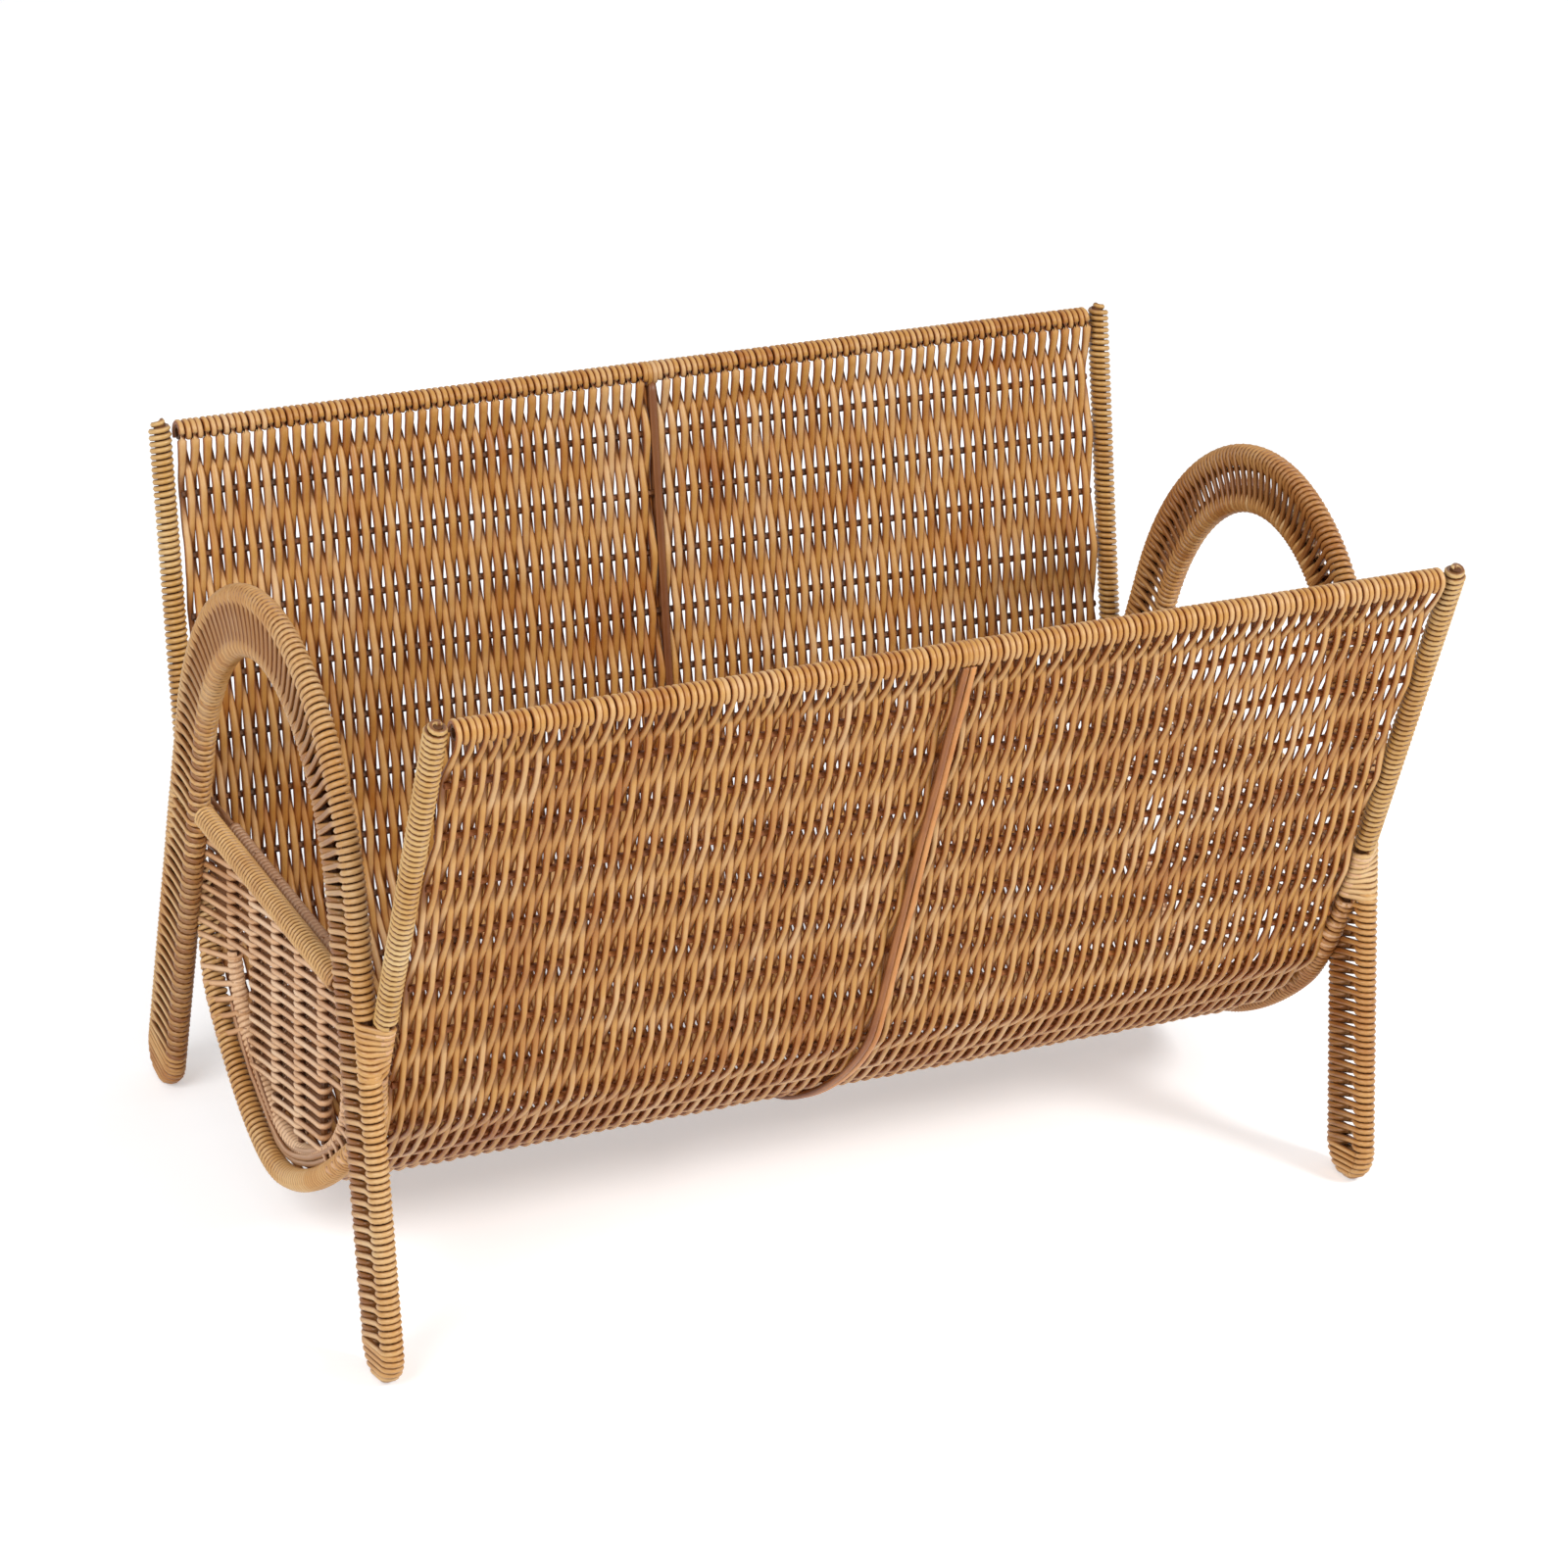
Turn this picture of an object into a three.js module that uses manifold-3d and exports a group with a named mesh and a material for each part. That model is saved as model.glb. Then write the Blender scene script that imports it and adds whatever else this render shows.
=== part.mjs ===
// Magazine basket: an iron wire frame, a woven cane trough, and two cane-wound arches
// that serve as legs and handles. Millimetres, +Z up. X runs along the trough, -Y is the
// front, and the four soles stand on Z = 0.

import * as THREE from 'three';
import Module from 'manifold-3d';
import { mergeVertices } from 'three/addons/utils/BufferGeometryUtils.js';

// Gap that neighbouring pieces keep, and how far a cutting solid reaches past its cut.
const clearance = 0.3;
const overrun = 6;

// Wire, tube and cane. Cane is the thickness of a strand as it lies on its wire.
const frameWire = 5;
const stakeWire = 3;
const ribWire = 3;
const railTube = 6;
const railBore = 4;
const seamCane = 4.5;
const cane = 2;

// Trough. The section is one half of the U, from the rail down to the keel.
const frameSpan = 440;
const mouthHalf = 146;
const mouthHeight = 291;
const flareDegrees = 15;
const bendHeight = 103;
const keelHeight = 26;
const bendHandle = 25;
const keelHandle = 33;
const wireTop = 5;
const stakesPerSide = 12;

// Arches. The leg is straight up to the half ellipse, whose centre is at springHeight.
const archHalfWidth = 87;
const archRise = 112;
const springHeight = 155;
const splayDegrees = 12.85;
const leanDegrees = 1.2;
const rodSpread = 20;
const webBite = 1;
const soleCut = 0.5;

// Rim bars, the bindings where arch and end frame cross, and the end panels.
const rimRise = 14;
const bindingTurns = 9;
const bindingPitch = 2.7;
const ribPitch = 25.3;
const straightRibsPerSide = 2;
const borderBend = 92;
const borderHandle = 26;
const borderKeelHandle = 28;
const borderKeel = 38;

// Facets: sides of round sections and steps of bends.
const wireSides = 6;
const tunnelSides = 6;
const woundSides = 10;
const railSides = 10;
const bindingSides = 5;
const bendSteps = 18;
const archSteps = 18;
const hairpinSteps = 4;
const bindingSteps = 12;
const bowSteps = 8;
const bulbSteps = 8;

// Sizes that follow from those above.
const wireRadius = frameWire / 2;
const stakeRadius = stakeWire / 2;
const ribRadius = ribWire / 2;
const railRadius = railTube / 2;
const seamRadius = seamCane / 2;
const woundRadius = wireRadius + clearance + cane;
const weaveHalf = stakeRadius + clearance + cane;
const weaveWaist = clearance + cane / 2;
const swellReach = stakeRadius + clearance;
const panelHalf = ribRadius + clearance + cane;
const bulbRadius = railRadius + clearance + cane;
const flare = THREE.MathUtils.degToRad(flareDegrees);
const splay = THREE.MathUtils.degToRad(splayDegrees);
const lean = THREE.MathUtils.degToRad(leanDegrees);
const frameX = frameSpan / 2;
const archX = frameX + 2 * wireRadius + clearance;
const panelX = archX - woundRadius - clearance - panelHalf;
const rodOffset = rodSpread / 2;
const footHeight = rodOffset + woundRadius - soleCut;
const searchSteps = 50;

const wasm = await Module();
wasm.setup();

// Solids.

function toSolid(geometry) {
  const bare = geometry.clone();
  bare.deleteAttribute('normal');
  bare.deleteAttribute('uv');
  const merged = mergeVertices(bare);
  return new wasm.Manifold(new wasm.Mesh({
    numProp: 3,
    vertProperties: new Float32Array(merged.attributes.position.array),
    triVerts: new Uint32Array(merged.index.array),
  }));
}

function toGeometry(solid) {
  const mesh = solid.getMesh();
  const geometry = new THREE.BufferGeometry();
  geometry.setAttribute('position', new THREE.BufferAttribute(mesh.vertProperties, 3));
  geometry.setIndex(new THREE.BufferAttribute(mesh.triVerts, 1));
  geometry.computeVertexNormals();
  return geometry;
}

function joined(geometries) {
  return toGeometry(geometries.map(toSolid).reduce((sum, next) => sum.add(next)));
}

function cut(geometry, cutters) {
  const uncut = toSolid(geometry);
  return toGeometry(cutters.map(toSolid).reduce((left, next) => left.subtract(next), uncut));
}

// Sections of round pieces. A tunnel's flats, not its corners, lie at its radius.

function circlePoints(radius, sides) {
  const corner = (i) => (2 * Math.PI * (i + 0.5)) / sides;
  return Array.from({ length: sides }, (_, i) =>
    new THREE.Vector2(radius * Math.cos(corner(i)), radius * Math.sin(corner(i))));
}

function flatsAt(radius, sides) {
  return radius / Math.cos(Math.PI / sides);
}

function disc(radius, sides) {
  return new THREE.Shape(circlePoints(radius, sides));
}

function ring(outer, bore, sides, boreSides) {
  const shape = disc(outer, sides);
  shape.holes.push(new THREE.Path(circlePoints(flatsAt(bore, boreSides), boreSides).reverse()));
  return shape;
}

function windingRing() {
  return ring(woundRadius, wireRadius + clearance, woundSides, tunnelSides);
}

function bar(thickness, width) {
  const x = thickness / 2;
  const y = width / 2;
  const corners = [[-x, -y], [x, -y], [x, y], [-x, y]];
  return new THREE.Shape(corners.map(([cx, cy]) => new THREE.Vector2(cx, cy)));
}

// A path given by stations, so that straight runs take one step and bends take several.
class StationPath extends THREE.Curve {
  constructor(stations) {
    super();
    this.stations = stations;
  }

  nearest(u) {
    return this.stations[Math.round(u * (this.stations.length - 1))];
  }

  getPoint(u) {
    return this.nearest(u).point.clone();
  }

  getPointAt(u) {
    return this.nearest(u).point.clone();
  }

  getTangentAt(u) {
    return this.nearest(u).tangent.clone();
  }
}

function along(stations, shape) {
  const steps = stations.length - 1;
  const extrudePath = new StationPath(stations);
  return new THREE.ExtrudeGeometry(shape, { steps, bevelEnabled: false, extrudePath });
}

// A station in the plane X = x, from a place and a direction in that plane.
function station(x, place, heading) {
  const tangent = new THREE.Vector3(0, heading.x, heading.y).normalize();
  return { point: new THREE.Vector3(x, place.x, place.y), tangent };
}

function straight(start, end) {
  const tangent = end.clone().sub(start).normalize();
  return [{ point: start, tangent }, { point: end, tangent: tangent.clone() }];
}

// Extrudes a shape drawn in the YZ plane along X.
function alongX(shape, from, to) {
  const geometry = new THREE.ExtrudeGeometry(shape, { depth: to - from, bevelEnabled: false });
  const x = new THREE.Vector3(1, 0, 0);
  const y = new THREE.Vector3(0, 1, 0);
  const z = new THREE.Vector3(0, 0, 1);
  geometry.applyMatrix4(new THREE.Matrix4().makeBasis(y, z, x));
  return geometry.translate(from, 0, 0);
}

// The value in [low, high] at which a rising function passes zero.
function root(rising, low, high) {
  for (let i = 0; i < searchSteps; i++) {
    const middle = (low + high) / 2;
    if (rising(middle) > 0) high = middle;
    else low = middle;
  }
  return (low + high) / 2;
}

// Trough section. Its places are counted by s, the length along the U from the keel:
// negative to the front rail, positive to the back rail.

function makeSection() {
  const rail = new THREE.Vector2(mouthHalf, mouthHeight);
  const down = new THREE.Vector2(-Math.sin(flare), -Math.cos(flare));
  const bend = rail.clone().addScaledVector(down, (mouthHeight - bendHeight) / Math.cos(flare));
  const belowBend = bend.clone().addScaledVector(down, bendHandle);
  const keelSide = new THREE.Vector2(keelHandle, keelHeight);
  const path = new THREE.CurvePath();
  path.add(new THREE.LineCurve(rail, bend));
  path.add(new THREE.CubicBezierCurve(bend, belowBend, keelSide, new THREE.Vector2(0, keelHeight)));
  return path;
}

const section = makeSection();
const halfLength = section.getLength();
const bendLength = section.curves[1].getLength();

function sectionAt(s, offset = 0) {
  const side = s < 0 ? -1 : 1;
  const share = 1 - Math.min(Math.abs(s) / halfLength, 1);
  const beyond = Math.max(Math.abs(s) - halfLength, 0);
  const place = section.getPoint(share);
  const rising = section.getTangent(share).negate();
  place.addScaledVector(rising, beyond);
  const outward = new THREE.Vector2(rising.y, -rising.x);
  place.addScaledVector(outward, offset);
  return {
    place: new THREE.Vector2(side * place.x, place.y),
    heading: new THREE.Vector2(rising.x, side * rising.y),
  };
}

function sectionSteps(from, to) {
  const near = bendLength / searchSteps;
  const bendShares = Array.from({ length: bendSteps + 1 }, (_, i) => (2 * i) / bendSteps - 1);
  const bends = bendShares.map((share) => share * bendLength);
  return [from, ...bends.filter((s) => s > from + near && s < to - near), to];
}

function sectionStations(x, from, to, offset = 0) {
  return sectionSteps(from, to).map((s) => {
    const { place, heading } = sectionAt(s, offset);
    return station(x, place, heading);
  });
}

// The length s at which the section has risen to z, and its reach from the middle plane.
function sectionHeight(z) {
  return root((s) => sectionAt(s).place.y - z, 0, halfLength);
}

function armReach(z) {
  return sectionAt(sectionHeight(z)).place.x;
}

// Arch, drawn upright. Half of its middle line is the leg, up to the ellipse, then the ellipse.

const meetAngle = Math.atan((Math.tan(splay) * archRise) / archHalfWidth);
const legTop = new THREE.Vector2(
  archHalfWidth * Math.cos(meetAngle),
  springHeight + archRise * Math.sin(meetAngle),
);
const legOut = new THREE.Vector2(Math.cos(splay), Math.sin(splay));
const legUp = new THREE.Vector2(-Math.sin(splay), Math.cos(splay));

function ellipseAt(angle, offset) {
  const across = Math.cos(angle);
  const up = Math.sin(angle);
  const outward = new THREE.Vector2(across / archHalfWidth, up / archRise).normalize();
  const place = new THREE.Vector2(archHalfWidth * across, springHeight + archRise * up);
  place.addScaledVector(outward, offset);
  return { place, heading: new THREE.Vector2(-outward.y, outward.x) };
}

// A place on the back leg, square across from the height on its middle line.
function legAt(height, offset) {
  const rise = (legTop.y - height) / Math.cos(splay);
  const place = legTop.clone().addScaledVector(legUp, -rise).addScaledVector(legOut, offset);
  return { place, heading: legUp.clone() };
}

// The place at height z of the rod that lies at an offset from the middle line.
function rodAt(z, offset) {
  const legEnd = ellipseAt(meetAngle, offset).place;
  if (z < legEnd.y) return legAt(z - offset * Math.sin(splay), offset);
  const angle = root((a) => ellipseAt(a, offset).place.y - z, meetAngle, Math.PI / 2);
  return ellipseAt(angle, offset);
}

// A run of a rod over the arch, from a place on the front side to a place on the back side.
function overArch(offset, front, back) {
  const near = archRise / searchSteps;
  const arc = Array.from({ length: archSteps + 1 }, (_, i) => {
    const angle = Math.PI - meetAngle - ((Math.PI - 2 * meetAngle) * i) / archSteps;
    const { place, heading } = ellipseAt(angle, offset);
    return station(archX, place, heading.negate());
  });
  const lowest = ({ point }) => (point.y < 0 ? front : back).place.y + near;
  const start = new THREE.Vector2(-front.place.x, front.place.y);
  const up = new THREE.Vector2(-front.heading.x, front.heading.y);
  return [
    station(archX, start, up),
    ...arc.filter((on) => on.point.z > lowest(on)),
    station(archX, back.place, back.heading.clone().negate()),
  ];
}

function backwards(run) {
  return run.map(({ point, tangent }) => ({ point, tangent: tangent.clone().negate() })).reverse();
}

// The bend that joins outer and inner rod in a foot, from the outer rod to the inner one.
// One of its stations is the foot's lowest point, where the tangent is level.
function hairpin(side) {
  const centre = legAt(footHeight, 0).place;
  const lowest = Math.PI / 2 + splay;
  const down = Array.from({ length: hairpinSteps }, (_, i) => (lowest * (i + 1)) / hairpinSteps);
  const up = down.slice(0, -1).map((angle) => lowest + ((Math.PI - lowest) * angle) / lowest);
  const turns = [];
  for (const angle of [...down, ...up]) {
    const place = centre.clone()
      .addScaledVector(legOut, rodOffset * Math.cos(angle))
      .addScaledVector(legUp, -rodOffset * Math.sin(angle));
    const heading = legOut.clone()
      .multiplyScalar(-Math.sin(angle))
      .addScaledVector(legUp, -Math.cos(angle));
    const aside = new THREE.Vector2(side * heading.x, heading.y);
    turns.push(station(archX, new THREE.Vector2(side * place.x, place.y), aside));
  }
  return turns;
}

// Down the back leg, round its foot, over the inner run, round the front foot and up again,
// between two places on the outer rod that are given as on the back leg.
function throughFeet(front, back) {
  const footTop = legAt(footHeight, rodOffset);
  const innerFoot = legAt(footHeight, -rodOffset);
  const backLeg = [back, footTop].map(({ place, heading }) =>
    station(archX, place, heading.clone().negate()));
  const frontLeg = [footTop, front].map(({ place, heading }) =>
    station(archX, new THREE.Vector2(-place.x, place.y), new THREE.Vector2(-heading.x, heading.y)));
  const inner = backwards(overArch(-rodOffset, innerFoot, innerFoot));
  return [...backLeg, ...hairpin(1), ...inner, ...backwards(hairpin(-1)), ...frontLeg];
}

// Crossings of the end frame's arm with the arch's outer and inner rod. At the outer one
// both wires are bare, side by side, and lashed together.

const archTop = springHeight + archRise;
const crossing = root((z) => armReach(z) - rodAt(z, rodOffset).place.x, bendHeight, archTop);
const innerCrossing = root((z) => armReach(z) - rodAt(z, -rodOffset).place.x, keelHeight, crossing);
const rimHeight = crossing + rimRise;
const bindingHalf = (bindingTurns * bindingPitch) / 2;
const bindingTop = crossing + bindingHalf;
const bindingFoot = crossing - bindingHalf;
const keepOff = cane / 2 + clearance;

// The arch leans outward about its crossings.
function archAt(z) {
  return archX + Math.tan(lean) * (z - crossing);
}

function leaned(geometry) {
  const shear = new THREE.Matrix4().makeShear(0, 0, 0, 0, Math.tan(lean), 0);
  geometry.translate(0, 0, -crossing);
  geometry.applyMatrix4(shear);
  return geometry.translate(0, 0, crossing);
}

// The end frame bows inward behind the arch's inner rod, which is wound there.
const besideInner = archAt(innerCrossing) - woundRadius - clearance - wireRadius;
const bow = Math.max(frameX - besideInner, 0);
const bowReach = bindingFoot - innerCrossing;

function frameBow(z) {
  const share = Math.min(Math.abs(z - innerCrossing) / bowReach, 1);
  const x = frameX - (bow * (1 + Math.cos(Math.PI * share))) / 2;
  const turn = (bow * Math.PI * Math.sin(Math.PI * share)) / (2 * bowReach);
  return { x, slope: Math.sign(z - innerCrossing) * turn };
}

function frameStations(from, to) {
  const near = bendLength / searchSteps;
  const shares = Array.from({ length: bowSteps + 1 }, (_, i) => (2 * i) / bowSteps - 1);
  const heights = shares.map((share) => innerCrossing + share * bowReach);
  const places = heights.map(sectionHeight).flatMap((s) => [-s, s]);
  const inside = places.filter((s) => s > from + near && s < to - near);
  const others = sectionSteps(from, to).filter((s) => inside.every((t) => Math.abs(s - t) > near));
  return [...others, ...inside].sort((a, b) => a - b).map((s) => {
    const { place, heading } = sectionAt(s);
    const { x, slope } = frameBow(place.y);
    const tangent = new THREE.Vector3(slope * heading.y, heading.x, heading.y).normalize();
    return { point: new THREE.Vector3(x, place.x, place.y), tangent };
  });
}

// Distance that round pieces of these radii keep in the plane of the end frame.
function besideGap(radius, other) {
  return Math.sqrt(Math.max((radius + other + clearance) ** 2 - (archX - frameX) ** 2, 0));
}

function segmentGap(p, a, b) {
  const ab = b.clone().sub(a);
  const share = THREE.MathUtils.clamp(p.clone().sub(a).dot(ab) / ab.lengthSq(), 0, 1);
  return p.distanceTo(a.clone().addScaledVector(ab, share));
}

// Steps from a start until the place is a gap or more away from a line of places.
function clearOf(line, gap, placeAt, start, step) {
  const distance = (p) => Math.min(...line.slice(1).map((q, i) => segmentGap(p, line[i], q)));
  let at = start;
  while (distance(placeAt(at)) < gap) at += step;
  return at;
}

const searchStep = halfLength / searchSteps ** 2;
const onSection = (s) => sectionAt(s).place;
const onRod = (z) => rodAt(z, rodOffset).place;
const innerFoot = legAt(footHeight, -rodOffset);
const innerLine = overArch(-rodOffset, innerFoot, innerFoot).map(({ point }) =>
  new THREE.Vector2(point.y, point.z));
const armLine = [bendLength, halfLength].map(onSection);
const wound = besideGap(woundRadius, woundRadius);
const armStart = sectionHeight(bindingTop + keepOff + woundRadius * Math.sin(flare));
const bottomEnd = clearOf(innerLine, wound, onSection, sectionHeight(innerCrossing), -searchStep);
const upperStart = clearOf(armLine, wound, onRod, bindingTop + keepOff, searchStep);
const lowerEnd = bindingFoot - keepOff - woundRadius * Math.sin(splay);

// Where the trough's pieces end: short of the bowed wire and of the winding below it.
const bottomX = frameBow(onSection(bottomEnd).y).x - woundRadius;
const trimX = Math.min(frameX - bow - wireRadius, bottomX) - clearance;

// A lashing wound round the outer rod and the wire of the end frame.
function bindingPoint(turn) {
  const z = bindingTop - turn * bindingPitch;
  const angle = 2 * Math.PI * turn;
  const facing = new THREE.Vector2(Math.cos(angle), Math.sin(angle));
  const rod = new THREE.Vector2(archAt(z), onRod(z).x);
  const wire = new THREE.Vector2(frameX, armReach(z));
  const rodPath = flatsAt(wireRadius / Math.cos(splay) + keepOff, bindingSteps);
  const wirePath = flatsAt(wireRadius / Math.cos(flare) + keepOff, bindingSteps);
  const isRod = rod.dot(facing) + rodPath > wire.dot(facing) + wirePath;
  const place = isRod ? rod.addScaledVector(facing, rodPath) : wire.addScaledVector(facing, wirePath);
  return new THREE.Vector3(place.x, place.y, z);
}

function bindingStations() {
  const count = bindingTurns * bindingSteps + 1;
  const points = Array.from({ length: count }, (_, i) => bindingPoint(i / bindingSteps));
  return points.map((point, i) => {
    const before = points[Math.max(i - 1, 0)];
    const after = points[Math.min(i + 1, points.length - 1)];
    return { point, tangent: after.clone().sub(before).normalize() };
  });
}

// The least gap between turns of one winding, surface to surface.
function leastGap(stations, turnSteps, radius) {
  let least = Infinity;
  stations.forEach(({ point }, i) => {
    const others = stations.slice(i + Math.floor(turnSteps / 2));
    others.forEach((other) => { least = Math.min(least, point.distanceTo(other.point)); });
  });
  return least - 2 * radius;
}

// Parts of one end, all modelled at +X. The other end is their mirror image.

function endFrame() {
  const top = halfLength + wireTop;
  return along(frameStations(-top, top), disc(wireRadius, wireSides));
}

function armWinding() {
  const end = halfLength + wireTop - clearance;
  return along(sectionStations(frameX, armStart, end), windingRing());
}

function bottomWinding() {
  return along(frameStations(-bottomEnd, bottomEnd), windingRing());
}

function floorCutter() {
  const width = 2 * (woundRadius + overrun);
  const reach = 2 * (legAt(0, rodSpread).place.x + overrun);
  return new THREE.BoxGeometry(width, reach, overrun).translate(archAt(0), 0, -overrun / 2);
}

// The rod is one loop. Its ends butt under the front lashing.
function archRod() {
  const start = rodAt(crossing, rodOffset);
  const end = rodAt(crossing - clearance, rodOffset);
  const outer = overArch(rodOffset, start, legAt(footHeight, rodOffset));
  const rest = throughFeet(end, start).slice(2);
  return leaned(along([...outer, ...rest], disc(wireRadius, wireSides)));
}

// The ladder of turns that cross from rod to rod, as strips between the two windings.
function archWebs() {
  const strip = bar(cane, rodSpread - 2 * woundRadius + 2 * webBite);
  const inset = (rodOffset - woundRadius + webBite) * Math.sin(splay);
  const above = rodAt(upperStart + inset, 0);
  const ends = [legAt(footHeight, 0), rodAt(lowerEnd - inset, 0)];
  const legs = [-1, 1].map((side) => {
    const points = ends.map(({ place }) => new THREE.Vector3(archX, side * place.x, place.y));
    return along(straight(...points), strip);
  });
  return [along(overArch(0, above, above), strip), ...legs];
}

// The winding leaves the outer rod bare where it is lashed to the end frame.
function archWinding() {
  const upper = rodAt(upperStart, rodOffset);
  const lower = rodAt(lowerEnd, rodOffset);
  const top = along(overArch(rodOffset, upper, upper), windingRing());
  const rest = along(throughFeet(lower, lower), windingRing());
  return cut(leaned(joined([top, rest, ...archWebs()])), [floorCutter()]);
}

function rimBar() {
  const upper = rodAt(rimHeight + woundRadius, -rodOffset).place;
  const half = upper.x - (woundRadius + clearance) / Math.cos(splay);
  const ends = [-half, half].map((y) => new THREE.Vector3(archX, y, rimHeight));
  return leaned(along(straight(...ends), disc(woundRadius, woundSides)));
}

function binding() {
  return along(bindingStations(), disc(cane / 2, bindingSides));
}

// End panel: a flat D with tunnels for its ribs. Its shoulders keep off the bindings.

function makeBorder() {
  const side = (straightRibsPerSide + 0.5) * ribPitch;
  const path = new THREE.CurvePath();
  const bend = new THREE.Vector2(side, borderBend);
  const belowBend = new THREE.Vector2(side, borderBend - borderHandle);
  const keelSide = new THREE.Vector2(borderKeelHandle, borderKeel);
  path.add(new THREE.LineCurve(new THREE.Vector2(side, rimHeight), bend));
  path.add(new THREE.CubicBezierCurve(bend, belowBend, keelSide, new THREE.Vector2(0, borderKeel)));
  return path;
}

const border = makeBorder();
const borderLength = border.getLength();
const borderCurve = border.curves[1].getLength();

// Stations of the border rib, lengthened at both ends by the given extra.
function borderStations(extra) {
  const bendShare = borderCurve / borderLength;
  const steps = bendSteps / 2;
  const shares = Array.from({ length: steps + 1 }, (_, i) => (bendShare * i) / steps);
  shares.push(1);
  const stationAt = (side) => (share) => {
    const place = border.getPoint(1 - share);
    const rising = border.getTangent(1 - share).negate();
    if (share === 1) place.addScaledVector(rising, extra);
    const heading = new THREE.Vector2(rising.x, side * rising.y);
    return station(panelX, new THREE.Vector2(side * place.x, place.y), heading);
  };
  return [...shares.slice(1).reverse().map(stationAt(-1)), ...shares.map(stationAt(1))];
}

function borderHeight(y) {
  const share = root((u) => border.getPoint(1 - u).x - Math.abs(y), 0, 1);
  return border.getPoint(1 - share).y;
}

function ribPlaces() {
  const count = 2 * straightRibsPerSide;
  return Array.from({ length: count }, (_, i) => (i - straightRibsPerSide + 0.5) * ribPitch);
}

function ribEnds(y, foot, extra) {
  const tip = new THREE.Vector3(panelX, y, rimHeight + extra);
  return straight(new THREE.Vector3(panelX, y, foot), tip);
}

function ribFoot(y) {
  const inner = Math.abs(y) + ribRadius;
  return borderHeight(inner) + 2 * ribRadius + clearance;
}

function straightRib(y) {
  return leaned(along(ribEnds(y, ribFoot(y), 0), disc(ribRadius, wireSides)));
}

function borderRib() {
  return leaned(along(borderStations(0), disc(ribRadius, wireSides)));
}

function panelOutline() {
  const inset = woundRadius + clearance;
  const wireReach = flatsAt(wireRadius / Math.cos(flare) + keepOff, bindingSteps) + keepOff;
  const rodReach = flatsAt(wireRadius / Math.cos(splay) + keepOff, bindingSteps) + keepOff;
  const besideWire = armReach(bindingFoot) - wireReach;
  const besideRod = onRod(bindingTop).x - rodReach;
  const shoulder = Math.min(besideWire, besideRod);
  const shoulderHeight = bindingFoot - keepOff;
  const cornerLength = sectionHeight(shoulderHeight);
  const lower = sectionSteps(-cornerLength, cornerLength).map((s) => sectionAt(s, -inset).place);
  lower[0].y = shoulderHeight;
  lower[lower.length - 1].y = shoulderHeight;
  const right = [[shoulder, shoulderHeight], [shoulder, rimHeight]];
  const left = right.map(([y, z]) => [-y, z]).reverse();
  const corners = [...right, ...left].map(([y, z]) => new THREE.Vector2(y, z));
  return new THREE.Shape([...lower, ...corners]);
}

function endPanel() {
  const slab = alongX(panelOutline(), panelX - panelHalf, panelX + panelHalf);
  const tunnel = disc(flatsAt(ribRadius + clearance, tunnelSides), tunnelSides);
  const straights = ribPlaces().map((y) => along(ribEnds(y, ribFoot(y) - clearance, overrun), tunnel));
  return leaned(cut(slab, [...straights, along(borderStations(overrun), tunnel)]));
}

// Trough pieces.

const stakePitch = halfLength / (stakesPerSide + 0.5);

function stakePlaces() {
  return Array.from({ length: stakesPerSide }, (_, i) => halfLength - (i + 1) * stakePitch);
}

function stake(s) {
  const { place } = sectionAt(s);
  const ends = [-trimX, trimX].map((x) => new THREE.Vector3(x, place.x, place.y));
  return along(straight(...ends), disc(stakeRadius, wireSides));
}

function topRail(side) {
  const { place } = sectionAt(side * halfLength);
  const ends = [-trimX, trimX].map((x) => new THREE.Vector3(x, place.x, place.y));
  return along(straight(...ends), ring(railRadius, railBore / 2, railSides, railSides));
}

function seamRib() {
  const offset = stakeRadius + clearance + seamRadius;
  const end = halfLength - railRadius - clearance;
  return along(sectionStations(0, -end, end, offset), disc(seamRadius, woundSides));
}

// The weave rises over the rail in a bulb. This is its edge from the outside over to the inside.
function bulbPoints() {
  const { place, heading } = sectionAt(halfLength);
  const outward = new THREE.Vector2(heading.y, -heading.x);
  const half = Math.PI - Math.asin(weaveHalf / bulbRadius);
  return Array.from({ length: bulbSteps + 1 }, (_, i) => {
    const angle = half * (1 - (2 * i) / bulbSteps);
    return place.clone()
      .addScaledVector(heading, bulbRadius * Math.cos(angle))
      .addScaledVector(outward, bulbRadius * Math.sin(angle));
  });
}

// Places up the wall with half the weave's thickness. The strands pass each stake on both
// sides, so the wall swells there, and they cross midway between two stakes, where it is slim.
function weaveSwells() {
  const swells = stakePlaces().reverse().flatMap((s) => [
    { s: s - swellReach, half: weaveHalf },
    { s: s + swellReach, half: weaveHalf },
    { s: s + stakePitch / 2, half: weaveWaist },
  ]);
  return [{ s: 0, half: weaveWaist }, ...swells];
}

function weaveOutline() {
  const outer = weaveSwells().map(({ s, half }) => sectionAt(s, half).place);
  const inner = weaveSwells().map(({ s, half }) => sectionAt(s, -half).place).reverse();
  const back = [...outer, ...bulbPoints(), ...inner];
  const front = back.slice(0, -1).reverse().map((p) => new THREE.Vector2(-p.x, p.y)).slice(0, -1);
  return new THREE.Shape([...back, ...front]);
}

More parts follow.
